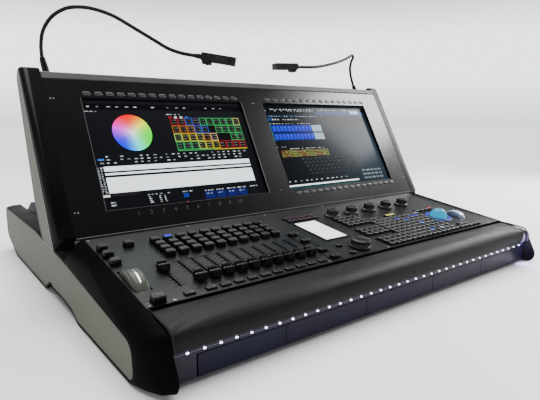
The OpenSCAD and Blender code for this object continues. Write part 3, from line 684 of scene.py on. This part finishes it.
def end_piping():
    """Corded seam round the pad where its cover meets each base cheek."""
    low, high = node_box("wrist_rest")
    points = node_points("wrist_rest") / MM
    end = points[np.abs(points[:, 0] - low[0]) < 0.1]
    outline = {(round(float(p[1]), 2), round(float(p[2]), 2)) for p in end}
    shown = [p for p in outline if p[1] > low[2] + 3 and p[0] < high[1] - 1]
    shown.sort(key=lambda p: math.atan2(p[1] - low[2] - 6, p[0] - low[1] - 60), reverse=True)
    shown = [p for p, following in zip(shown, shown[1:]) if math.dist(p, following) > 2] + shown[-1:]
    for name, x in (("left", low[0] + 2.6), ("right", high[0] - 2.6)):
        bm = bmesh.new()
        tube(bm, [Vector((x, y, z)) for y, z in shown], 2.2, 10)
        add_piece(f"{name}_rest_piping", bm, "root", ["leather"], DESK, 60)


def tube(bm, route, radius, sides, index=0):
    """A round tube along a route; radius may be a number or one number for each point."""
    radii = radius if isinstance(radius, list) else [radius] * len(route)
    rings = []
    normal = None
    for k, p in enumerate(route):
        tangent = (route[min(k + 1, len(route) - 1)] - route[max(k - 1, 0)]).normalized()
        if normal is None:
            normal = tangent.orthogonal().normalized()
        normal = (normal - tangent * normal.dot(tangent)).normalized()
        side = tangent.cross(normal)
        rings.append([bm.verts.new(p + radii[k] * (math.cos(a) * normal + math.sin(a) * side))
                      for a in [2 * math.pi * j / sides for j in range(sides)]])
    for k in range(len(rings) - 1):
        bridge(bm, rings[k], rings[k + 1], index)
    bm.faces.new(list(reversed(rings[0]))).material_index = index
    bm.faces.new(rings[-1]).material_index = index


wrist_rest()
end_piping()

# -------- front lights


def light_points():
    bm = bmesh.new()
    for low, high in islands("led_lenses", DESK):
        centre = (low + high) / 2
        place = at(centre[0], high[1] - 0.6, centre[2]) @ Matrix.Diagonal((2.9, 2.4, 1.8, 1))
        bmesh.ops.create_uvsphere(bm, u_segments=16, v_segments=8, radius=1, matrix=place)
    add_piece("light_point_domes", bm, "root", ["led"], DESK, 180, 0, ["led_lenses"])


def light_band():
    low, high = node_box("led_lenses")
    rail_low, rail_high = node_box("front_rail")
    middle = (low[2] + high[2]) / 2
    bm = bmesh.new()
    add_box(bm, (rail_low[0] + 6, high[1] - 0.7, middle - 0.6),
            (rail_high[0] - 6, high[1] + 0.4, middle + 0.6))
    add_piece("light_band", bm, "root", ["led_band"], DESK)


def drawer_front_seams():
    low, high = node_box("keyboard_drawer")
    bm = bmesh.new()
    for x in (-343, -120, 120, 343):
        add_box(bm, (x - 0.8, low[1] - 0.15, low[2] + 0.5), (x + 0.8, low[1] + 0.3, high[2] - 0.5))
    add_piece("drawer_front_seams", bm, "drawer", ["dark_marking"], DESK)


light_points()
light_band()
drawer_front_seams()

# -------- displays

# How far each layer of a picture stands in front of the one below it
LAYER_STEP = 0.06


def uneven(k, seed):
    """A repeatable number from 0 to 1 that jumps from one k or seed to the next."""
    return (math.sin(12.9898 * (k + 1) + 78.233 * seed) * 43758.5453) % 1.0


class Picture:
    """Flat lit shapes in layers, placed from the picture's lower left corner."""

    def __init__(self, left, bottom, level):
        self.bm = bmesh.new()
        self.colors = self.bm.loops.layers.float_color.new("picture")
        self.left, self.bottom, self.level = left, bottom, level

    def face(self, corners, colors, layer):
        z = self.level + LAYER_STEP * layer
        face = self.bm.faces.new([self.bm.verts.new((self.left + x, self.bottom + y, z)) for x, y in corners])
        for loop, color in zip(face.loops, colors):
            loop[self.colors] = (*color, 1)

    def cell(self, x0, y0, x1, y1, color, layer=1):
        self.face(((x0, y0), (x1, y0), (x1, y1), (x0, y1)), [color] * 4, layer)

    def field(self, right, top, shade, nx=24, ny=14):
        """Background whose colour is a smooth function of the place, each from 0 to 1."""
        for i in range(nx):
            for j in range(ny):
                corners = [(i, j), (i + 1, j), (i + 1, j + 1), (i, j + 1)]
                self.face([(right * u / nx, top * v / ny) for u, v in corners],
                          [shade(u / nx, v / ny) for u, v in corners], 0)

    def marks(self, x0, x1, y, count, color, size, seed, layer=2):
        """A row of short dashes that stand for small captions, of uneven length and brightness.
        Long rows have gaps."""
        for k in range(count):
            chance = uneven(k, seed)
            if chance < 0.16 and count > 4:
                continue
            x = x0 + (x1 - x0) * (k + 0.35 + 0.3 * chance) / count
            half = size[0] * (0.5 + 0.6 * chance) / 2
            glow = 0.25 + 0.75 * ((chance * 7) % 1.0)
            self.cell(x - half, y - size[1] / 2, x + half, y + size[1] / 2, scaled(color, glow), layer)

    def hue_disc(self, x, y, radius, red_at):
        """A colour wheel: hue runs clockwise round it and fades to white in the middle."""
        steps, bands = 72, 12
        red_angle = math.radians(red_at)

        def tone(k, j):
            hue = (red_angle - 2 * math.pi * k / steps) / (2 * math.pi) % 1.0
            return [0.75 * c ** 3 for c in colorsys.hsv_to_rgb(hue, (j / bands) ** 0.9, 1.0)]

        def spot(k, j):
            a, r = 2 * math.pi * k / steps, radius * j / bands
            return x + r * math.cos(a), y + r * math.sin(a)

        for k in range(steps):
            for j in range(bands):
                around = ((k, j), (k, j + 1), (k + 1, j + 1), (k + 1, j))
                if j == 0:
                    around = around[:3]
                self.face([spot(*p) for p in around], [tone(*p) for p in around], 2)

    def finish(self, name, body, slot, local):
        add_piece(name, self.bm, body, ["display"], local, 180)


WHITE = (0.46, 0.50, 0.53)
INK = (0.0015, 0.0018, 0.0024)
GREEN, YELLOW, ORANGE = (0.02, 0.24, 0.06), (0.34, 0.30, 0.012), (0.30, 0.10, 0.01)
BLUE, PURPLE, RED, BLANK = (0.02, 0.07, 0.32), (0.05, 0.015, 0.12), (0.20, 0.006, 0.01), INK
PALETTE_ROWS = [
    [GREEN, GREEN, GREEN, (0.30, 0.45, 0.06), YELLOW, YELLOW, RED, RED, RED, RED],
    [(0.25, 0.45, 0.08), YELLOW, YELLOW, YELLOW, ORANGE, (0.45, 0.30, 0.16), BLANK, BLANK, GREEN, GREEN],
    [ORANGE, ORANGE, ORANGE, BLUE, BLUE, BLANK, GREEN, GREEN, GREEN, GREEN],
    [RED, RED, BLUE, PURPLE, GREEN, GREEN, GREEN, GREEN, GREEN, (0.32, 0.30, 0.10)],
]


def glass_area(node):
    """The glass that shows through the bezel's window, and its height in the face's frame."""
    low, high = islands(node, FACE)[0]
    overlap = 7
    return low[0] + overlap, low[1] + overlap, high[0] - overlap, high[1] - overlap, high[2]


def screen_picture(node):
    """An empty picture just in front of a screen's glass, with its width and height."""
    x0, y0, x1, y1, level = glass_area(node)
    return Picture(x0, y0, level + 0.1), x1 - x0, y1 - y0


def palette(screen, x0, y0, x1, y1):
    columns, rows = len(PALETTE_ROWS[0]), len(PALETTE_ROWS)
    w, h = (x1 - x0) / columns, (y1 - y0) / rows
    for j, row in enumerate(PALETTE_ROWS):
        for i, color in enumerate(row):
            x, y = x0 + i * w, y0 + j * h
            screen.cell(x + 0.4, y + 0.4, x + w - 0.4, y + h - 0.4, color)
            screen.cell(x + 2.2, y + 2.2, x + w - 2.2, y + h - 2.2, [c * 0.03 + 0.001 for c in color], 2)
            if color is not BLANK:
                screen.marks(x + 3, x + w - 3, y + h * 0.68, 2, (0.16, 0.17, 0.16), (7, 2.0), i + 11 * j, 3)
                screen.marks(x + 3, x + w - 3, y + h * 0.34, 2, (0.13, 0.14, 0.13), (6, 2.0), i + 7 * j, 3)
    screen.cell(x0, y0 - 3.5, (x0 + x1) / 2, y0 - 1, GREEN)
    screen.cell((x0 + x1) / 2, y0 - 3.5, x1, y0 - 1, YELLOW)


def left_display():
    screen, right, top = screen_picture("left_screen")
    screen.field(right, top, lambda u, v: scaled((0.0024, 0.0028, 0.0036), 0.5 + 0.9 * v * v + 0.4 * u))
    screen.cell(0, top - 26, right, top - 9, (0.001, 0.001, 0.0012))
    screen.marks(4, right - 60, top - 17, 17, WHITE, (9, 2.6), 3)
    screen.marks(2, 40, top - 31, 3, (0.25, 0.27, 0.28), (10, 2.4), 4)
    screen.hue_disc(114, 207, 52, 100)
    screen.marks(218, 268, top - 38, 4, WHITE, (9, 2.6), 8)
    for k, color in enumerate((RED, WHITE, WHITE, BLUE)):
        screen.cell(226 + 17 * k, top - 50, 234 + 17 * k, top - 44, color, 2)
    palette(screen, 228, 153, 454, 251)
    for k in range(3):
        screen.marks(8, right - 26, 142 - 8.5 * k, 25, WHITE, (9, 2.6), 20 + k)
    screen.cell(10, 132.5, 26, 137, (0.01, 0.10, 0.40), 3)
    for low, high in ((103, 116), (93, 98.5), (46, 87)):
        screen.cell(20, low, right - 26, high, (0.74, 0.80, 0.83))
    for k in range(16):
        screen.marks(3, 17, 113 - 4.3 * k, 2, WHITE, (5, 1.9), 40 + k)
    screen.cell(2, 37, 20, 43, (0.50, 0.52, 0.52))
    screen.cell(20, 38, 92, 43, (0.008, 0.008, 0.009))
    screen.marks(18, 30, 22, 2, WHITE, (7, 3), 61)
    screen.marks(18, 30, 15, 2, WHITE, (7, 3), 62)
    screen.marks(110, 175, 34, 6, WHITE, (8, 2.6), 63)
    for k in range(4):
        screen.marks(112, 124, 28 - 5 * k, 1, WHITE, (8, 2.4), 65 + k)
        screen.marks(138, 166, 28 - 5 * k, 2, WHITE, (6, 2.4), 75 + k)
    screen.cell(209, 17, 224, 28, (0.005, 0.02, 0.18))
    screen.marks(206, 236, 33, 3, WHITE, (8, 2.6), 70)
    for k in range(4):
        left = 272 + 35 * k
        screen.cell(left, 6, left + 31, 27, (0.003, 0.006, 0.07))
        screen.marks(left + 1, left + 29, 30, 3, WHITE, (8, 2.8), 80 + k)
        screen.marks(left + 3, left + 26, 21, 2, (0.4, 0.5, 0.8), (7, 2.4), 90 + k)
    screen.marks(420, 452, 30, 3, WHITE, (8, 2.4), 95)
    for x, y, w, h in ((2, 2, 1.2, 26), (2, 2, 18, 1.2), (112, 2, 4, 2), (147, 2, 4, 2), (214, 3, 4, 2),
                       (306, 2, 5, 2), (341, 2, 5, 2), (372, 2, 5, 2)):
        screen.cell(x, y, x + w, y + h, (0.75, 0.04, 0.04), 2)
    screen.finish("left_screen_picture", "monitor", "screen_glass", FACE)


def right_display():
    screen, right, top = screen_picture("right_screen")

    # Painted reflection: the background's light rises towards the right and the middle, standing in for the room
    # reflected in the glass, drawn into the screen's own glow
    def painted_glass_reflection(u, v):
        glow = 0.05 + 1.15 * u ** 1.6 * (0.45 + 0.55 * math.sin(math.pi * min(1, 0.15 + v)))
        return scaled((0.012, 0.021, 0.031), glow)

    screen.field(right, top, painted_glass_reflection)
    screen.cell(0, top - 24, right, top - 10, (0.001, 0.0012, 0.0018))
    screen.marks(2, right - 30, top - 16, 34, WHITE, (9, 3.2), 5)
    screen.marks(2, right - 170, top - 21, 22, (0.4, 0.42, 0.42), (8, 2.2), 6)
    for k in range(24):
        glow = (k + 2) / 24
        blue = (0.003 + 0.012 * glow, 0.02 + 0.03 * glow, 0.08 + 0.08 * glow)
        screen.cell(222 + 10 * k, top - 36, 232 + 10 * k, top - 20, blue, 3)
    screen.cell(398, top - 30, 440, top - 18, (0.40, 0.46, 0.75), 4)
    screen.cell(2, top - 44, 226, top - 37, (0.002, 0.012, 0.035))
    screen.marks(6, 250, top - 41, 24, WHITE, (5, 2.0), 7)
    screen.cell(2, top - 58, 36, top - 47, (0.004, 0.03, 0.10))
    screen.marks(26, 142, top - 53, 11, WHITE, (8, 4.0), 9)
    screen.marks(8, 190, top - 68, 14, (0.5, 0.5, 0.5), (8, 1.8), 10)
    for row in range(2):
        y = 172 + 29 * row
        screen.cell(14, y, 186, y + 24, (0.002, 0.006, 0.22))
        screen.cell(186, y, 230, y + 24, (0.22, 0.32, 0.38))
        for k in range(11):
            screen.cell(20 + 15.2 * k, y + 3, 30 + 15.2 * k, y + 21, (0.008, 0.025, 0.42), 2)
            screen.marks(21 + 15.2 * k, 29 + 15.2 * k, y + 16, 1, (0.08, 0.12, 0.55), (6, 2.5), k, 3)
    screen.cell(8, 168, 13, 230, (0.015, 0.12, 0.10))
    screen.marks(8, 60, 148, 5, WHITE, (8, 2.4), 30)
    screen.marks(60, 210, 141, 18, (0.6, 0.62, 0.6), (5, 2.4), 31)
    for k in range(12):
        for row in range(2):
            tint = scaled((YELLOW, ORANGE, YELLOW, (0.30, 0.42, 0.06))[(k + row) % 4], 0.7)
            left, y = 22 + 17 * k, 113 + 12 * row
            screen.cell(left, y, left + 15.5, y + 10.5, tint)
            screen.cell(left + 1.1, y + 1.1, left + 14.4, y + 9.4, scaled(tint, 0.04), 2)
            screen.marks(left + 2, left + 13, y + 5.2, 2, (0.45, 0.46, 0.4), (4, 2), k + 5 * row, 3)
    for row in range(5):
        count = 15 - row
        for k in range(count):
            left, y = 92 + 6 * row + 18.5 * k, 98 - 13 * row
            screen.cell(left, y, left + 16, y + 10.5, (0.006, 0.008, 0.0095))
            screen.marks(left + 3, left + 13, y + 5.5, 1, (0.12, 0.13, 0.14), (4, 2.4), k + 13 * row)
    screen.marks(8, 320, 30, 14, (0.6, 0.62, 0.64), (9, 2.8), 50)
    screen.cell(4, 13, 322, 18, (0.86, 0.90, 0.94), 2)
    screen.cell(4, 5, 330, 9, (0.008, 0.04, 0.04), 2)
    for row in range(3):
        for k in range(5):
            left, y = 350 + 21 * k, 14 + 14 * row
            screen.cell(left, y, left + 18, y + 9, (0.05 - 0.005 * row, 0.065, 0.075))
            screen.marks(left + 1, left + 17, y + 4.5, 2, WHITE, (5, 3), 60 + k + 5 * row)
    screen.finish("right_screen_picture", "monitor", "screen_glass", FACE)


def touch_display():
    low, high = islands("touchscreen", PANEL)[0]
    edge = 4.5
    screen = Picture(low[0] + edge, low[1] + edge, high[2] + 0.05)
    right, top = high[0] - low[0] - 2 * edge, high[1] - low[1] - 2 * edge
    screen.field(right, top, lambda u, v: (0.80 + 0.15 * v, 0.70 + 0.20 * v - 0.05 * u, 0.78 + 0.12 * v),
                 8, 12)
    for row in range(9):
        for k in range(4):
            left, y = 2 + 17.6 * k, 3 + 13.4 * row
            tint = (1.3, 1.2, 1.25) if (row + k) % 3 else (1.1, 0.98, 1.08)
            screen.cell(left, y, left + 16, y + 11.4, tint)
            screen.marks(left + 2, left + 14, y + 7, 2, (0.14, 0.10, 0.14), (5, 1.2), row * 5 + k)
    screen.finish("touchscreen_picture", "root", "touch_glass", PANEL)


left_display()
right_display()
touch_display()

# -------- monitor face details


def screen_trims():
    """Inner edges of both screen windows: the left window's edges in the light grey strip finish as a painted
    highlight, and the right window's in the dark bezel finish.
    """
    # The left window's light grey edges are a painted highlight; the right window's edges keep the bezel's own
    # finish
    for name, node, materials in (("left_window_painted_highlight", "left_screen", ["strip"]),
                                  ("right_window_trim", "right_screen", ["bezel"])):
        x0, y0, x1, y1, _ = glass_area(node)
        bm = bmesh.new()
        for low, high in (((x0 - 1.5, y0), (x0, y1)), ((x1, y0), (x1 + 3, y1)),
                          ((x0 - 1.5, y0 - 0.8), (x1 + 3, y0))):
            add_box(bm, (*low, -2.0), (*high, 0.35))
        add_piece(name, bm, "monitor", materials, FACE, 30, 0.3)


def bottom_edge_line():
    low, high = islands("monitor_bezel", FACE)[0][0], islands("monitor_bezel", FACE)[-1][1]
    bm = bmesh.new()
    tube(bm, [Vector((x, 3.0, 0.2)) for x in (low[0] + 3, (low[0] + high[0]) / 2, high[0] - 3)], 1.3, 12)
    add_piece("monitor_bottom_line", bm, "monitor", ["strip"], FACE, 60)


NUMBER_START, NUMBER_PITCH, NUMBER_HEIGHT = -440, 32.3, 40


def bezel_numbers():
    """Channel numbers 1 to 10 under the left screen."""
    bm = bmesh.new()
    for k in range(10):
        curve = bpy.data.curves.new("number", "FONT")
        curve.body = str(k + 1)
        curve.size = 15
        curve.align_x = "CENTER"
        curve.extrude = 0.05
        holder = bpy.data.objects.new("number", curve)
        mesh = bpy.data.meshes.new_from_object(holder)
        mesh.transform(at(NUMBER_START + NUMBER_PITCH * k, NUMBER_HEIGHT, 0.1))
        bm.from_mesh(mesh)
        bpy.data.objects.remove(holder)
        bpy.data.curves.remove(curve)
        bpy.data.meshes.remove(mesh)
    add_piece("bezel_numbers", bm, "monitor", ["faint_marking"], FACE)


def screw_head(bm, x, y, radius):
    lathe(bm, [(radius, 0), (radius, 0.5), (radius - 0.5, 1.1), (radius * 0.55, 1.3), (radius * 0.5, 0.4),
               (0.3, 0.3)], 28, 0, (x, y, 0))


def bezel_screws():
    bm = bmesh.new()
    for x, ys in ((-581, (355, 63)), (4, (355, 63)), (584, (354, 60))):
        for y in ys:
            for shift in (-3.6, 3.6):
                screw_head(bm, x + shift, y, 1.9)
    add_piece("bezel_screws", bm, "monitor", ["steel"], FACE)


screen_trims()
bottom_edge_line()
bezel_numbers()
bezel_screws()

# -------- lamps

# Right lamp's socket, and how far the desk's origin lies behind the line that depths are read from
DEPTH_TO_ORIGIN = 552.5
LAMP_SOCKET = Vector((566, 677 - DEPTH_TO_ORIGIN, 513))
# The left neck rises in one plane: distance along the plane and height, from its socket
LEFT_BEND = [
    [0, 10], [-5, 35], [-11, 64], [-11, 97], [-3, 130], [20, 161], [54, 180], [88, 184],
    [126, 179], [172, 163], [224, 133], [273, 104], [304, 86], [340, 74], [387, 66.5]]
LEFT_ROUTE = [Vector((-LAMP_SOCKET.x + 0.8 * d, LAMP_SOCKET.y - 0.6 * d, LAMP_SOCKET.z + h))
              for d, h in LEFT_BEND]
RIGHT_ROUTE = [Vector((x, y - DEPTH_TO_ORIGIN, z)) for x, y, z in (
    (566, 677, 523), (560, 677, 536), (549, 677, 555), (531, 674, 587), (522, 672, 618),
    (527, 671, 645), (534, 669, 660), (530, 668, 668), (519, 666, 666), (479, 655, 650),
    (408, 638, 629), (320, 618, 610), (253, 606, 601), (187, 600.5, 597.6))]
# Distance between a neck's grooves and ribs, and the radius of each
RIB_STEP, RIB_RADII = 1.3, (4.35, 4.9)


def smooth_route(points, n):
    """A smooth curve through the points, with n steps from each to the next."""
    route = []
    for i in range(len(points) - 1):
        a, b = points[max(i - 1, 0)], points[i]
        c, d = points[i + 1], points[min(i + 2, len(points) - 1)]
        for k in range(n):
            t = k / n
            route.append(0.5 * (2 * b + (c - a) * t + (2 * a - 5 * b + 4 * c - d) * t * t
                                + (3 * b - a - 3 * c + d) * t ** 3))
    return route + [points[-1]]


def even_steps(route, step):
    """The same route with points an even distance apart."""
    points = np.array(route)
    lengths = np.append(0, np.cumsum(np.linalg.norm(np.diff(points, axis=0), axis=1)))
    even = np.linspace(0, lengths[-1], int(lengths[-1] / step) + 1)
    return [Vector(p) for p in np.transpose([np.interp(even, lengths, axis) for axis in points.T])]


def gooseneck(side, points):
    """A ribbed flexible neck with a turned collar and boot at its socket and a ferrule at its head."""
    route = even_steps(smooth_route(points, 12), RIB_STEP)
    ribs = [RIB_RADII[k % 2] for k in range(len(route))]
    bm = bmesh.new()
    tube(bm, route, ribs, 16)
    boot = smooth_route(points, 3)[1:7]
    tube(bm, boot, [8.5, 8.6, 8.5, 8.2, 7.6, 6.6], 28)
    foot = points[0]
    lathe(bm, [
        (7.0, -22), (7.0, -3.6), (9.5, -3.5), (9.5, -1.5, 0.5), (9.3, 6.0, 0.5),
        (8.8, 8.0, 0, 1), (8.4, 9.0, 0, 1), (6.4, 10.3), (5.4, 12.0)], 60, 20, foot)
    tip = route[-1]
    back = (route[-18] - tip).normalized()
    tube(bm, [tip + back * d for d in range(0, 19, 3)], [6.6, 6.6, 6.4, 6.2, 5.9, 5.6, 5.0], 24, 0)
    add_piece(f"{side}_lamp_gooseneck", bm, f"{side}_lamp", ["neck", "chrome"], DESK, 50, 0,
              [f"{side}_lamp_neck"])


def lamp_details(side, dip, heading):
    """Diffuser under each lamp head, cooling fins along it and a ribbed dimmer wheel in its foot."""
    start = (LEFT_ROUTE if side == "left" else RIGHT_ROUTE)[-1]
    place = (DESK @ at(*start) @ Matrix.Rotation(math.radians(heading), 4, "Z")
             @ Matrix.Rotation(math.radians(dip), 4, "Y"))
    bm = bmesh.new()
    for k in range(7):
        for edge in (-14.0, 13.2):
            add_box(bm, (36 + 6.4 * k, edge, -5.5), (39.4 + 6.4 * k, edge + 0.8, 5.5))
    for x in (0.6, 81.5):
        for side_face in (-14.2, 13.4):
            add_box(bm, (x, side_face, -8.5), (x + 2.6, side_face + 0.8, 8.5), 1)
    add_piece(f"{side}_lamp_trim", bm, f"{side}_lamp", ["grey_and_painted_rim_highlight", "plastic"], place, 30, 0.25)
    bm = bmesh.new()
    lathe(bm, [(7.0, -8.4), (8.2, -7.6), (8.2, -6.4, 0.7), (8.2, 6.4, 0.7), (8.2, 7.6),
               (7.0, 8.4)], 72, 18)
    add_piece(f"{side}_lamp_dimmer", bm, f"{side}_lamp", ["grey_and_painted_rim_highlight"],
              place @ at(15, 0, -10.5) @ Matrix.Rotation(math.radians(90), 4, "X"))
    bm = bmesh.new()
    add_box(bm, (34, -10.5, -8.4), (79, 10.5, -7.9))
    add_piece(f"{side}_lamp_diffuser", bm, f"{side}_lamp", ["marking"], place, 30, 0.2)


gooseneck("left", LEFT_ROUTE)
gooseneck("right", RIGHT_ROUTE)
lamp_details("left", 9, -36.9)
lamp_details("right", 3, 176)

# -------- housings and hardware

for material, bevel, names in (
        ("plastic", 1.6, ("left_lamp_head", "right_lamp_head")),
        ("moulding", 0, ("left_cheek", "right_cheek")),
        ("satin_moulding", 0, ("monitor_cheeks",)),
        ("chassis", 0.8, ("base_tray", "rear_deck", "rear_housing")),
        ("chassis", 0.6, ("rear_panel",)), ("chassis", 1.0, ("monitor_shell",)),
        ("strip", 1.2, ("monitor_top_strip",)), ("rail", 0.6, ("front_rail",)),
        ("drawer", 0.8, ("keyboard_drawer",)), ("rubber", 1.0, ("rubber_feet",)),
        ("inset", 0.6, ("cheek_insets", "monitor_cheek_insets")),
        ("steel", 0.6, ("hinge_brackets", "hinge_arms")),
        ("plastic", 0.8, ("lamp_sockets",)), ("plastic", 0.4, ("power_inlet",))):
    for node in names:
        refined(node, material, bevel)
paint("panel", "control_panel")
paint("bezel", "monitor_bezel", "touchscreen")
paint("glass", "left_screen", "right_screen")
paint("steel", "panel_screws", "drawer_runners")
paint("chrome", "rear_sockets")
paint("alloy", "control_modules", "computer_module", "power_supply")
paint("board", "circuit_board")

# -------- studio


def floor():
    bm = bmesh.new()
    bmesh.ops.create_grid(bm, x_segments=1, y_segments=1, size=30)
    mesh = bpy.data.meshes.new("floor")
    bm.to_mesh(mesh)
    bm.free()
    material, tree, shader = new_material("floor", {"Roughness": 0.7})
    cloud = noise(tree, 0.7, 2.0)
    tree.links.new(tones(tree, cloud, (0.80, 0.80, 0.81), (0.84, 0.84, 0.85)), shader.inputs["Base Color"])
    mesh.materials.append(material)
    new_object("floor", mesh)


def softbox(name, place, target, size, power, color=(1, 1, 1)):
    data = bpy.data.lights.new(name, "AREA")
    data.shape = "RECTANGLE"
    data.size, data.size_y = size
    data.energy = power
    data.color = color
    light = new_object(name, data)
    light.location = place
    light.rotation_euler = (Vector(target) - Vector(place)).to_track_quat("-Z", "Y").to_euler()


def studio():
    floor()
    world = bpy.data.worlds.new("studio")
    world.use_nodes = True
    nodes, links = world.node_tree.nodes, world.node_tree.links
    where = nodes.new("ShaderNodeTexCoord")
    axes = nodes.new("ShaderNodeSeparateXYZ")
    links.new(where.outputs["Generated"], axes.inputs["Vector"])
    backdrop = nodes["Background"]
    shade = nodes.new("ShaderNodeValToRGB")
    steps = shade.color_ramp.elements
    for height, tone in ((0.0, 0.62), (0.08, 1.0), (0.16, 1.0), (0.30, 0.045)):
        step = steps[0] if height == 0 else steps.new(height)
        step.color = (0.98 * tone, 0.985 * tone, tone, 1)
    steps.remove(steps[-1])
    links.new(axes.outputs["Z"], shade.inputs["Fac"])
    links.new(shade.outputs["Color"], backdrop.inputs["Color"])
    put(backdrop, {"Strength": 2.6})
    bpy.context.scene.world = world
    softbox("face_light", (2.3, -0.65, 1.85), (0.56, 0.1, 0.45), (0.9, 0.7), 45)
    softbox("right_side", (2.8, -0.25, 1.25), (0.5, -0.5, 0.1), (1.0, 0.9), 40)
    softbox("rear_top", (0.9, 2.6, 2.1), (-0.3, -0.2, 0.1), (1.3, 1.1), 26, (0.93, 1.0, 0.95))
    softbox("rail_end_glow", (0.550, -0.562, 0.078), (0.6, -0.560, 0.050), (0.02, 0.03), 0.6, (0.6, 0.5, 1))
    softbox("left_side", (-2.6, -0.6, 1.2), (-0.4, 0, 0.2), (1.4, 1.4), 6)
    data = bpy.data.lights.new("sky_panel", "SUN")
    data.energy = 6.0
    data.angle = math.radians(60)
    sky = new_object("sky_panel", data)
    sky.rotation_euler = (math.radians(-16), math.radians(6), 0)


studio()
